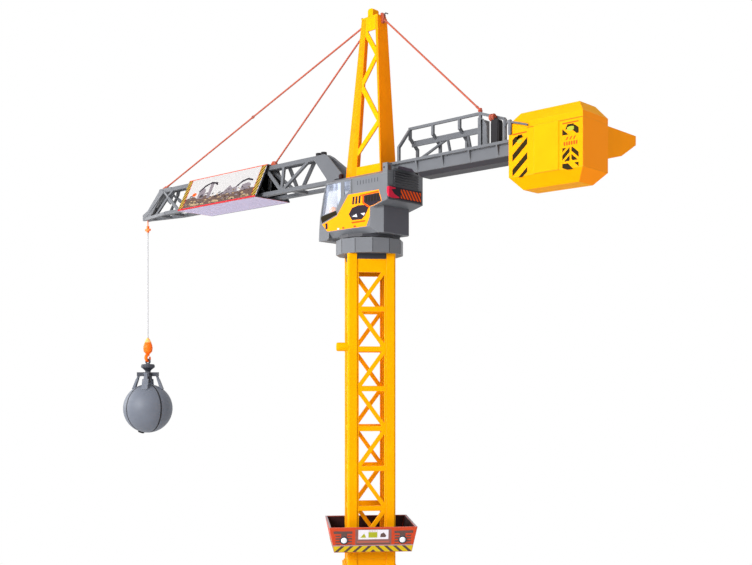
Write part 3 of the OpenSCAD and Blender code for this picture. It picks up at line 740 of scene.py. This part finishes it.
def tray_prints():
    lemon = [[(-74.5, 0.8), (74.5, 0.8), (76.6, 12.6), (-76.6, 12.6)]]
    brown = hazard_band(74.4, 76.5, 0.8, 12.5)
    lines = [[(-76.7, 12.9), (76.7, 12.9), (77, 14.5), (-77, 14.5)]]
    bars = [
        rectangle(-32.4, 15.6, 32.4, 17.6),
        [(13, 30), (23.5, 30), (24.6, 33.6), (20, 39.4), (14.4, 37)],
    ]
    mauve = [rectangle(-32.6, 15.4, 32.6, 46.4)]
    for s in (-1, 1):
        bars.append([(s * 40.4, 37.6), (s * 76, 37.8), (s * 77, 43), (s * 40.4, 42.6)])
        for low, high in ((31.6, 34.2), (26.2, 29.2), (20.4, 23.2), (15.6, 17.4)):
            bars.append(rectangle(s * 41, low, s * 50, high))
            bars.append([(s * 64, low), (s * 72.4, low), (s * 73, high), (s * 64, high)])
        bars.append(rectangle(s * LAMP_U - 5.6, 31.5, s * LAMP_U + 5.6, 38))
        mauve.append(rectangle(s * 33.6 - 1.2, 15.4, s * 33.6 + 1.2, 46.4))
    rose = [rectangle(-31, 19.4, 31, 22.4)]
    rose += [rectangle(-9 + 3.2 * i, 42, -7.6 + 3.2 * i, 43.4) for i in range(6)]
    white = [rectangle(-29, 26, 29, 45)]
    lime = [rectangle(-9.5, 29.5, 7.5, 40.5), [(-25, 29.5), (-14, 29.5), (-18, 38)]]
    four, two = (0, 90, 180, 270), (0, 180)
    for end, turns, outlines, ink, layer in (
        ("lemon", four, lemon, "lemon", 0), ("brown", four, brown, "brown", 1),
        ("lines", four, lines, "haze", 1), ("mauve", two, mauve, "mauve", 0),
        ("plate", two, white, "white", 1), ("rose", two, rose, "rose", 3),
        ("lime", two, lime, "lime", 3), ("bars", two, bars, "ash", 2),
    ):
        marks = [(tray_wall(turn), outline) for turn in turns for outline in outlines]
        print_layer("tray_print_" + end, "tower", marks, ink, layer)
    level = plane((0, 0, TRAY_Z + TRAY_H), (1, 0, 0), (0, 1, 0), TOWER_TURN)
    top, inner = TRAY_TOP - 0.2, TRAY_TOP - 3.8
    # Painted highlight: a pale strip along the top of each side wall's rim.
    pale = [(level, rectangle(s * 83 - 1.8, -inner, s * 83 + 1.8, top)) for s in (-1, 1)]
    print_layer("tray_rim_painted_highlight", "tower", pale, "haze", 0)
    print_layer("tray_rim_dark", "tower", [(level, rectangle(-inner, inner, inner, top))], "ash", 0)


def tray_lamps():
    lamps, rings = bmesh.new(), bmesh.new()
    lens = [(5.6, -0.2), (5.6, 1.3), (4.8, 2.0), (3.0, 2.5), (0.8, 2.7)]
    ring = [(8.3, -0.2), (8.3, 0.8), (7.6, 1.3), (5.7, 1.3), (5.7, -0.2)]
    for turn in (0, 180):
        wall = tray_wall(turn)
        for s in (-1, 1):
            foot = wall(s * LAMP_U, LAMP_V) / MM
            axis = wall(0, 0, 1) - wall(0, 0)
            add_lathe(lamps, foot, axis, lens, sides=36)
            add_lathe(rings, foot, axis, ring, sides=36)
    make_piece("tray_lamps", "tower", LENS, lamps)
    make_piece("tray_lamp_rings", "tower", DARK, rings)


def tray_inside():
    """Dark liner of the tray's inner faces."""
    liner = bmesh.new()
    foot, top = TRAY_FOOT - TRAY_WALL, TRAY_TOP - TRAY_WALL
    side = [(-foot + 1, 4.4), (foot - 1, 4.4), (top - 1, 49.2), (-top + 1, 49.2)]
    for turn in (0, 90, 180, 270):
        wall = plane((0, -foot, TRAY_Z), (1, 0, 0), (0, foot - top, TRAY_H), TOWER_TURN + turn)
        add_slab(liner, wall, side, -0.5, 0.1)
    floor = plane((0, 0, TRAY_Z + TRAY_WALL), (1, 0, 0), (0, 1, 0), TOWER_TURN)
    for k in range(4):
        add_slab(liner, floor, quarter_turns(rectangle(-47.2, -71, 71, -47.2), k), -0.2, 0.4)
    make_piece("tray_liner", "tower", MAROON, liner, smooth=False)


# Billboard


def board_face(side):
    """Sloping face of the billboard: u runs to the right as one looks at it, v up the slope."""
    x, along = (BOARD_X0, 1) if side < 0 else (BOARD_X1, -1)
    slope = (0, side * (BOARD_HIGH - BOARD_LOW), BOARD_TOP - BOARD_Z)
    return plane((x, side * BOARD_LOW, BOARD_Z), (along, 0, 0), slope)


def board_prints():
    """A building site in abstract shapes between two striped ends."""
    length = BOARD_X1 - BOARD_X0
    high = hypot(BOARD_LOW - BOARD_HIGH, BOARD_TOP - BOARD_Z)
    top = high - 2.4
    right = length - BOARD_END
    sky, ground, stone, sand, spot, straw, black, red, scraps = [], [], [], [], [], [], [], [], []
    draw = random.Random(11)
    for side in (-1, 1):
        face = board_face(side)
        sky.append((face, rectangle(BOARD_END, 4.2, right, top)))
        ground.append((face, [
            (BOARD_END, 4.4), (right, 4.4), (right, 27), (length - 46, 30), (length - 70, 25),
            (150, 29), (118, 24), (92, 31), (60, 26), (44, 33), (BOARD_END, 29),
        ]))
        stone.append((face, [(60, 24), (84, 24), (84, 47), (72, 53), (60, 47)]))
        stone.append((face, [(96, 22), (108, 22), (108, 62), (96, 62)]))
        stone.append((face, [(150, 24), (206, 24), (198, 40), (184, 37), (172, 46), (160, 36)]))
        stone.append((face, [(216, 26), (248, 26), (248, 38), (238, 44), (216, 41)]))
        for u in (40, 66, 120, 176, 226):
            sand.append((face, [(u, 8), (u + 30, 6), (u + 26, 11), (u + 6, 14)]))
        spot.append((face, [(36, 34), (50, 34), (53, 40), (47, 43), (38, 42)]))
        scraps.append((face, [
            (58, 46), (76, 60), (98, 66), (120, 62), (124, 54), (120, 54), (112, 59), (96, 61),
            (78, 55), (62, 42),
        ]))
        scraps.append((face, [
            (196, 40), (212, 52), (232, 56), (250, 50), (250, 46), (232, 51), (214, 47), (200, 37),
        ]))
        for i in range(90):
            u, v = draw.uniform(BOARD_END + 3, right - 12), draw.uniform(6, 34)
            wide, tall, tip = draw.uniform(3, 12), draw.uniform(1.2, 3.6), draw.uniform(-2, 2)
            mark = [
                (u, v), (u + wide, v + tip), (u + wide * 0.8, v + tip + tall),
                (u + wide * 0.2, v + tall),
            ]
            (scraps, stone, sand)[i % 3].append((face, mark))
        for u0 in (0.6, right + 1.2):
            u1 = u0 + BOARD_END - 2.4
            band = rectangle(u0, 4.4, u1, top)
            straw.append((face, band))
            v = -20.0
            while v < high:
                stripe = clip(climbing(u0, u1, v, STRIPE_RISE, STRIPE_WIDE), band)
                if stripe:
                    black.append((face, stripe))
                v += STRIPE_STEP
        red.append((face, rectangle(BOARD_END - 1.6, 4.2, BOARD_END - 0.2, top)))
        red.append((face, rectangle(right + 0.2, 4.2, right + 1.0, top)))
        red.append((face, rectangle(0.4, 0.4, length - 0.4, 4.1)))
    print_layers("board_print_", "turret", (
        ("sky", sky, "sky", 0), ("ground", ground, "brown", 1), ("stone", stone, "stone", 2),
        ("sand", sand, "sand", 2), ("spot", spot, "orange", 3), ("straw", straw, "straw", 0),
        ("scraps", scraps, "coal", 3), ("black", black, "black", 1), ("red", red, "red", 2),
    ))


def board_rims():
    """Dark cut ends and far edge of the sleeve, and its pale underside."""
    ends = []
    for s, x in ((1, BOARD_X1), (-1, BOARD_X0)):
        cut = plane((x, 0, 0), (0, s, 0), (0, 0, 1))
        low, high = BOARD_LOW - 0.6, BOARD_HIGH
        ends.append((cut, rectangle(-low, BOARD_Z, low, BOARD_Z + 3)))
        ends.append((cut, rectangle(-high, BOARD_TOP - 3, high, BOARD_TOP)))
        for side in (-1, 1):
            edge = [(low, BOARD_Z), (45, BOARD_Z + 3), (high - 1, BOARD_TOP - 3), (high, BOARD_TOP)]
            ends.append((cut, [(side * u, v) for u, v in edge]))
    under = plane((0, 0, BOARD_Z), (1, 0, 0), (0, -1, 0))
    ends.append((under, rectangle(BOARD_X0, -BOARD_LOW, BOARD_X1, -BOARD_LOW + 2.4)))
    print_layer("board_ends", "turret", ends, "slate", 0)
    sheet = rectangle(BOARD_X0 + 2, -BOARD_LOW + 2.5, BOARD_X1 - 2, BOARD_LOW - 2.5)
    print_layer("board_print_under", "turret", [(under, sheet)], "lilac", 0)


def board_inside():
    """Dark inner faces of the sleeve."""
    liner = bmesh.new()
    slope = atan2(BOARD_LOW - BOARD_HIGH, BOARD_TOP - BOARD_Z)
    for side in (-1, 1):
        face = board_face(side)
        thick = -6 * cos(slope) + 0.9
        add_slab(liner, face, rectangle(0.4, 5, BOARD_X1 - BOARD_X0 - 0.4, 80), thick - 0.5, thick)
    flat = plane((0, 0, BOARD_Z + 3), (1, 0, 0), (0, 1, 0))
    add_slab(liner, flat, rectangle(BOARD_X0 + 0.4, -43, BOARD_X1 - 0.4, 43), -0.2, 0.3)
    make_piece("board_liner", "turret", BLACK, liner, smooth=False)


# Cords and what they are tied to


def knot(mesh, at, radius, axis=(0, 0, 1), points=55):
    """A small lump of wound cord."""
    axis = Vector(axis).normalized()
    across = axis.orthogonal().normalized()
    third = axis.cross(across)
    path = []
    for i in range(points):
        a = 2 * pi * i / 14
        h = (i / (points - 1) - 0.5) * radius * 5
        r = radius * 1.5 * sqrt(max(0.15, 1 - (2 * h / (radius * 6)) ** 2))
        path.append(Vector(at) + axis * h + (across * cos(a) + third * sin(a)) * r)
    add_tube(mesh, path, radius * 0.7, sides=6)


def wound(mesh, foot, reel, radius, turns, low):
    """Turns of cord wound round an upright peg."""
    path = []
    for i in range(turns * 16 + 1):
        a = 2 * pi * i / 16
        path.append((
            foot[0] + (reel + radius) * cos(a), foot[1] + (reel + radius) * sin(a),
            foot[2] + low + radius * 1.9 * i / 16,
        ))
    add_tube(mesh, path, radius)


def mast_front(z):
    """X of the mast's front edge at a height."""
    return -49 + 37 * (z - MAST_FOOT) / MAST_RISE


def mast_rear(z):
    return 52 - 17 * (z - MAST_FOOT) / MAST_RISE


def stays():
    """Three taut stays from lugs on the mast to pegs on the jib and the rail."""
    cords, lugs = bmesh.new(), bmesh.new()
    routes = [
        ((mast_front(1172) - 3, 0, 1172), TIP_PEG, -1),
        ((mast_front(1154) - 3, 0, 1154), MID_PEG, -1),
        ((mast_rear(1175) + 3, 0, 1175), RAIL_PEG, 1),
    ]
    for lug, peg, side in routes:
        start, end = Vector(lug), Vector(peg) + Vector((0, 0, PEG_HIGH))
        add_cord(cords, start, end, 1.9, pitch=16, deep=0.3)
        away = (end - start).normalized()
        knot(cords, start + away * 7, 1.2, away)
        knot(cords, end - away * 9, 1.2, away)
        wound(cords, peg, 2.6, 0.9, 2, 1.2)
        if peg is TIP_PEG:
            knot(cords, start.lerp(end, 0.51), 1.5, away)
        wall = plane((lug[0] - side, 3, lug[2]), (1, 0, 0), (0, 0, 1))
        add_block(lugs, wall, rectangle(-3.5, -5, 3.5, 5), 0, 6, 1.0)
        add_lathe(
            lugs, peg, (0, 0, 1),
            [(2.9, 0), (2.6, 0.8), (2.5, 5.2), (3.4, 5.8), (3.4, 6.8), (2.4, 7.2)], sides=24,
        )
    ropes = make_piece("stay_cords", "turret", CORD_RED, cords)
    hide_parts("stay_ropes")
    make_piece("stay_lugs", "turret", RED, lugs)


def hoist():
    """Hoist cord between the rope's body and the grab's, with its two knots."""
    cord = bmesh.new()
    add_cord(cord, (ROPE_X, 0, 566), (ROPE_X, 0, 832), 1.2, pitch=22, deep=0.07)
    piece = make_piece("hoist_cord_twist", None, CORD_PALE, cord)
    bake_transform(piece)
    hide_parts("hoist_rope")
    for end, body, z in (("high", "rope", 829), ("low", "grab", 568)):
        lump = bmesh.new()
        knot(lump, (ROPE_X, 0, z), 0.9)
        make_piece("hoist_knot_" + end, body, CORD_PALE, lump)


# Small trim


def jib_trim():
    """Knobs and clips of the jib, and the mast's small parts."""
    knobs = bmesh.new()
    knob = [(3, 0), (3, 2.2), (5.6, 2.4), (6.0, 3.2), (6.0, 7.6), (5.0, 8.6), (1.5, 8.8)]
    for x in (-146, -131):
        add_lathe(knobs, (x, 0, 929), (0, 0, 1), knob, sides=36, ridge=0.5)
    make_piece("jib_knobs", "turret", BLACK, knobs)
    tip = [(-699, 931), (-677, 931), (-679, 935), (-686, 937), (-695, 935.5)]
    mid = [(-298, 929), (-277, 929), (-279, 934.5), (-283, 941), (-289, 941), (-294, 934.5)]
    clips = [(upright(4.5), outline, 0, 9, 0.8) for outline in (tip, mid)]
    block_piece("jib_clips", "turret", CLIP, clips)
    foot = rectangle(-58, 867.6, -50, 877)
    block_piece("mast_foot_block", "turret", MAROON, [(upright(-22), foot, 0, 8, 1.0)])
    head = [(33, 1166), (41, 1168), (41, 1184), (36, 1188), (32, 1187)]
    block_piece("mast_top_clip", "turret", CLIP, [(upright(4), head, 0, 8, 1.2)])
    pins = bmesh.new()
    pin = [(1.8, -6), (1.8, 1), (2.6, 1.2), (2.6, 2.8), (1.6, 3.4)]
    add_lathe(pins, (-14, -4, 1185.5), (-1, 0, 0.2), pin, sides=20)
    add_tube(pins, [(38, 0, 1180), (46, -3, 1184), (52, -3, 1181)], 1.2, sides=10)
    make_piece("mast_pins", "turret", DARK, pins)


def nose_plates():
    """Cheeks, cap and far gusset that fill the nose out to its end."""
    cheek = [(-772, 869), (-758, 865.5), (-736, 873), (-685, 927), (-687, 931), (-701, 931)]
    cap = [(-707.4, 923), (-701, 918.6), (-655.6, 921.6), (-655.6, 931.5), (-703.4, 931.5)]
    gusset = [(-709, 914), (-680, 893), (-660, 924), (-699, 924)]
    block_piece("nose_plates", "turret", GREY_IN_PAINTED_SHADE, [
        (upright(-5.9), cheek, 0, 3.5, 0.6), (upright(9.4), cheek, 0, 3.5, 0.6),
        (upright(9.8), cap, 0, 19.6, 0.6), (upright(8), gusset, 0, 2, 0.5),
    ])
    hole = [(flank(y), ellipse(-694, 912, 3, 3, 24)) for y in (8.1, 5.9)]
    print_layer("nose_hole", "turret", hole, "black", 0)


def deck_trim():
    """Control rod with its bracket, rail panel and keel, and painted shade under the deck's edge.
    """
    rod = bmesh.new()
    add_tube(rod, [
        (326, 5.5, 912), (333, 0, 916.5), (340, -8, 918), (347, -17, 916),
        (354, -27, 911), (361, -37, 907.5), (367, -42, 906), (376, -43.2, 904.6),
        (390, -43.4, 900.5), (407, -43, 895),
    ], 1.8, sides=12)
    make_piece("deck_rod", "turret", GREY_IN_PAINTED_SHADE, rod)
    bracket = rectangle(367, 884, 373, 910)
    block_piece("rod_bracket", "turret", GREY_IN_PAINTED_SHADE, [(upright(-40), bracket, 0, 4.4, 0.8)])
    panel = [(266, 880), (288, 880), (286, 925), (278, 937), (266, 941)]
    block_piece("deck_plates", "turret", GREY_IN_PAINTED_SHADE, [(upright(7), panel, 0, 3, 0.6)])
    keel = [(-15.4, 845.6), (15.4, 845.6), (24, 854), (-24, 854)]
    # The keel takes the dark grey as painted shade on the beam's underside, which lies in shadow.
    block_piece("deck_keel", "turret", DARK, [(crosswise(146), keel, 0, 219.5, 0.5)])
    # Painted shade: a dark wedge on both sides under the deck's edge, where the counter-jib's
    # underside is in shadow.
    painted_shade_wedge = [(96.4, 867.4), (139.5, 854.2), (132, 862), (112, 868.5), (99, 872)]
    print_layer("deck_painted_shade", "turret", both_sides(24.1, [painted_shade_wedge]), "coal", 0)


def winch():
    """Rounded motor box with its knob."""
    box = [(303, 880), (320.5, 880), (320.5, 924), (317.5, 928.5), (306, 928.5), (303, 924)]
    blocks = [(upright(8), box, 0, 16, 1.6)]
    motor_piece = block_piece("winch_box", "turret", BLACK, blocks)
    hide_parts("winch_motor")
    knob = [
        (5.0, 0), (6.0, 1), (6.2, 2.6), (4.8, 3), (4.8, 5), (6.2, 5.4), (6.2, 9), (5.2, 10.6),
        (2, 11),
    ]
    lathe_piece("winch_knob", "turret", CLIP, (311, -4, 932.5), (-1, 0, 0), knob, 36, ridge=0.5)
    foot = [(303, 924), (315, 924), (311, 932), (306, 932)]
    block_piece("winch_knob_foot", "turret", BLACK, [(upright(-1), foot, 0, 6, 0.8)])


def deck_posts():
    hole = ellipse(86.5, 867.5, 1.6, 1.6, 16)
    print_layer("deck_post_hole", "turret", [(flank(-CAB_SIDE - 0.1), hole)], "black", 0)
    back = crosswise(DECK_BACK)
    slots = [(back, rectangle(s * 46 - 3.6, 862, s * 46 + 3.6, 872)) for s in (-1, 1)]
    print_layer("deck_post_slot", "turret", slots, "ash", 0)


def tower_trim():
    """Seams of the collar, the peg of the tower and the gland of the base."""
    seams = bmesh.new()
    for k in range(12):
        edge = plane((66.6, 0, 0), (0, 1, 0), (0, 0, 1), TOWER_TURN + 30 * k)
        add_slab(seams, edge, rectangle(-0.5, 711, 0.5, 738), -0.4, 0.5)
    make_piece("collar_seams", "tower", BLACK, seams, smooth=False)
    spin = Matrix.Rotation(radians(TOWER_TURN), 3, "Z")
    foot, away = spin @ Vector((-46, -38, 527)), spin @ Vector((-1, 0, 0))
    peg = [(8.6, -1), (8.6, 20), (7.8, 22), (5.6, 23)]
    lathe_piece("tower_peg", "tower", LEMON, foot, away, peg, 36)
    foot, away = spin @ Vector((0, 52, 60)), spin @ Vector((0, 1, 0))
    gland = [
        (7, -2), (7, 2), (5.2, 2.6), (5.0, 5), (4.2, 5.4), (4.2, 7), (3.6, 7.4), (3.6, 9),
        (2.4, 9.6),
    ]
    lathe_piece("cable_gland", "tower", BLACK, foot, away, gland, 28)


# Grab


def ball_point(azimuth, polar, radius):
    """Point of the ball; polar is counted from its lowest point, in degrees."""
    a, b = radians(azimuth), radians(polar)
    return (
        ROPE_X + radius * sin(b) * cos(a), radius * sin(b) * sin(a),
        BALL_Z - radius * cos(b),
    )


def hook_piece():
    """Open hook, thick along its back and slim in the eye."""
    hook = bmesh.new()
    spin = Matrix.Rotation(radians(HOOK_TURN), 3, "Z")
    path = [((0, 527.5), 4.4)]
    radii = (4.4, 4.4, 4.3, 4.2, 4.1, 3.9, 3.6, 3.3, 3.2, 3.2, 3.2, 3.1, 2.9, 2.6, 2.2, 1.4)
    for angle, r in zip((*range(0, 300, 20), 296), radii):
        a = radians(angle)
        path.append(((-HOOK_R * sin(a), HOOK_Z + HOOK_R * cos(a)), r))
    rings = []
    for i, ((u, z), r) in enumerate(path):
        ahead, behind = path[min(i + 1, len(path) - 1)][0], path[max(i - 1, 0)][0]
        along = Vector((0, ahead[0] - behind[0], ahead[1] - behind[1])).normalized()
        across = Vector((1, 0, 0))
        ring = ring_round(Vector((0, u, z)), across, along.cross(across), r, 20)
        rings.append([ROPE_AXIS + spin @ point for point in ring])
    add_rings(hook, rings)
    piece = make_piece("hook_bow", "grab", HOOK, hook)
    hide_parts("hook")


def base_shell():
    """Rounded housing under the tower, with the feet of its posts and walls."""
    shell = bmesh.new()
    half = BASE_HALF
    level = plane((0, 0, 0), (1, 0, 0), (0, 1, 0), TOWER_TURN)
    add_block(shell, level, rectangle(-half, -half, half, half), 14, BASE_TOP, 3.0)
    add_block(shell, level, rectangle(-44, -44, 44, 44), 0, 15, 1.5)
    post = [(29, 29), (47, 29), (47, 44), (44, 47), (29, 47)]
    for k in range(4):
        for outline in (post, rectangle(-29, -45, 29, -38)):
            add_slab(shell, level, quarter_turns(outline, k), BASE_TOP - 2, 112)
        wall = plane((0, -half, 0), (1, 0, 0), (0, 0, 1), TOWER_TURN + 90 * k)
        add_block(shell, wall, rectangle(-34, 70, 34, 88), -1, 0.8, 0.5)
    piece = make_piece("base_shell", "tower", YELLOW, shell)
    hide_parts("base_housing")


def petal_seams(body, middle):
    """Dark lines along the edges of a petal."""
    seams = bmesh.new()
    for s in (-1, 1):
        rings = []
        for i in range(SEAM_STEPS + 1):
            polar = SEAM_LOW + i * (SEAM_HIGH - SEAM_LOW) / SEAM_STEPS
            width = degrees(SEAM_WIDE / (BALL_R * sin(radians(polar))))
            outer = middle + s * PETAL_HALF
            inner = middle + s * (PETAL_HALF - min(width, 12))
            rings.append([
                ball_point(outer, polar, BALL_R - 0.4), ball_point(outer, polar, BALL_R + 0.12),
                ball_point(inner, polar, BALL_R + 0.12), ball_point(inner, polar, BALL_R - 0.4),
            ])
        add_rings(seams, rings)
    make_piece("petal_seams_" + body[-1], body, BLACK, seams, smooth=False)


def grab_trim():
    """Seams and arms of the petals, the knob on one and the hook block's cap."""
    for k, body in enumerate(("petal_a", "petal_b", "petal_c", "petal_d")):
        middle = GRAB_TURN + 90 * k
        petal_seams(body, middle)
        arm = bmesh.new()
        spin = Matrix.Rotation(radians(middle), 3, "Z")
        outline = ((31, 440), (39, 437.5), (28.6, 463), (23.4, 463))
        add_rings(arm, [
            [ROPE_AXIS + spin @ Vector((r, y, z)) for r, z in outline] for y in (-7.5, 7.5)
        ])
        make_piece("petal_arm_" + body[-1], body, BALL, arm)
    at = ball_point(GRAB_TURN + 180, 16, BALL_R - 0.8)
    away = Vector(at) - Vector((ROPE_X, 0, BALL_Z))
    knob = [(8, 0), (8, 2.4), (7, 3.6), (2, 4)]
    lathe_piece("petal_knob", "petal_c", BLACK, at, away, knob, 36)
    cap = [(8.2, 554.8), (8.6, 555), (6.2, 560.3), (2.8, 566.3), (1.5, 566.5)]
    lathe_piece("hook_cap", "grab", HOOK_PALE, ROPE_AXIS, (0, 0, 1), cap, 40)


# Stage

FLOOR_HALF = 9.0
WORLD_LIGHT = 0.62


def math_node(tree, operation, a, b):
    node = tree.nodes.new("ShaderNodeMath")
    node.operation = operation
    tree.links.new(a, node.inputs[0])
    tree.links.new(b, node.inputs[1])
    return node.outputs[0]


def mix_shader(tree, factor, a, b):
    node = tree.nodes.new("ShaderNodeMixShader")
    for i, value in enumerate((factor, a, b)):
        tree.links.new(value, node.inputs[i])
    return node.outputs[0]


def background(tree, strength):
    node = tree.nodes.new("ShaderNodeBackground")
    set_inputs(node, {"Color": (1.0, 1.0, 1.0, 1.0), "Strength": strength})
    return node.outputs[0]


def make_world():
    """White where it is seen, and a plain even light on the crane."""
    world = bpy.data.worlds.new("world")
    bpy.context.scene.world = world
    world.use_nodes = True
    tree = world.node_tree
    tree.nodes.clear()
    path = tree.nodes.new("ShaderNodeLightPath").outputs
    seen = math_node(tree, "MAXIMUM", path["Is Camera Ray"], path["Is Transmission Ray"])
    seen = math_node(tree, "MAXIMUM", seen, path["Is Glossy Ray"])
    light = mix_shader(tree, seen, background(tree, WORLD_LIGHT), background(tree, 1.0))
    out = tree.nodes.new("ShaderNodeOutputWorld")
    tree.links.new(light, out.inputs["Surface"])


def floor_material():
    """Pale floor that keeps the shadow near the crane and fades to white further out."""
    material, tree, shader, coords = new_material("floor")
    set_inputs(shader, {
        "Base Color": (0.86, 0.86, 0.86, 1.0), "Roughness": 0.9, "Specular IOR Level": 0.0,
    })
    glow = tree.nodes.new("ShaderNodeEmission")
    glow.inputs["Strength"].default_value = 1.0
    far = tree.nodes.new("ShaderNodeVectorMath")
    far.operation = "LENGTH"
    tree.links.new(coords, far.inputs[0])
    fade = remap(tree, far.outputs["Value"], 0.25, 0.5, 0.25, 1.0)
    path = tree.nodes.new("ShaderNodeLightPath").outputs
    seen = math_node(tree, "MAXIMUM", path["Is Camera Ray"], path["Is Transmission Ray"])
    both = math_node(tree, "MULTIPLY", seen, fade)
    surface = mix_shader(tree, both, shader.outputs[0], glow.outputs[0])
    tree.links.new(surface, tree.nodes["Material Output"].inputs["Surface"])
    return material


def make_stage():
    data = bpy.data.meshes.new("floor")
    h = FLOOR_HALF
    data.from_pydata([(-h, -h, 0), (h, -h, 0), (h, h, 0), (-h, h, 0)], [], [(0, 1, 2, 3)])
    floor = bpy.data.objects.new("floor", data)
    link(floor)
    data.materials.append(floor_material())


def lamp(name, at, aim, size, power):
    data = bpy.data.lights.new(name, "AREA")
    data.shape = "SQUARE"
    data.size = size
    data.energy = power
    light = bpy.data.objects.new(name, data)
    link(light)
    light.location = at
    light.rotation_mode = "QUATERNION"
    light.rotation_quaternion = (Vector(aim) - Vector(at)).to_track_quat("-Z", "Y")


def make_lights():
    lamp("key", (-0.2, -3.2, 1.7), (0.0, 0.0, 0.8), 1.6, 148.0)
    lamp("left", (-3.0, -1.0, 1.2), (0.0, 0.0, 0.8), 1.6, 36.0)
    lamp("right", (2.6, 1.2, 1.2), (0.0, 0.0, 0.8), 1.6, 5.0)
    lamp("top", (0.0, 0.0, 3.4), (0.0, 0.0, 0.0), 2.0, 12.0)


dress_nodes()
make_camera()
cab_prints()
cab_inside()
bumper_prints()
tub_prints()
tub_end_shade()
tray_prints()
tray_lamps()
tray_inside()
board_prints()
board_rims()
board_inside()
stays()
hoist()
jib_trim()
nose_plates()
deck_trim()
winch()
deck_posts()
tower_trim()
hook_piece()
base_shell()
grab_trim()
make_world()
make_stage()
make_lights()

bpy.context.scene.view_settings.view_transform = "Standard"
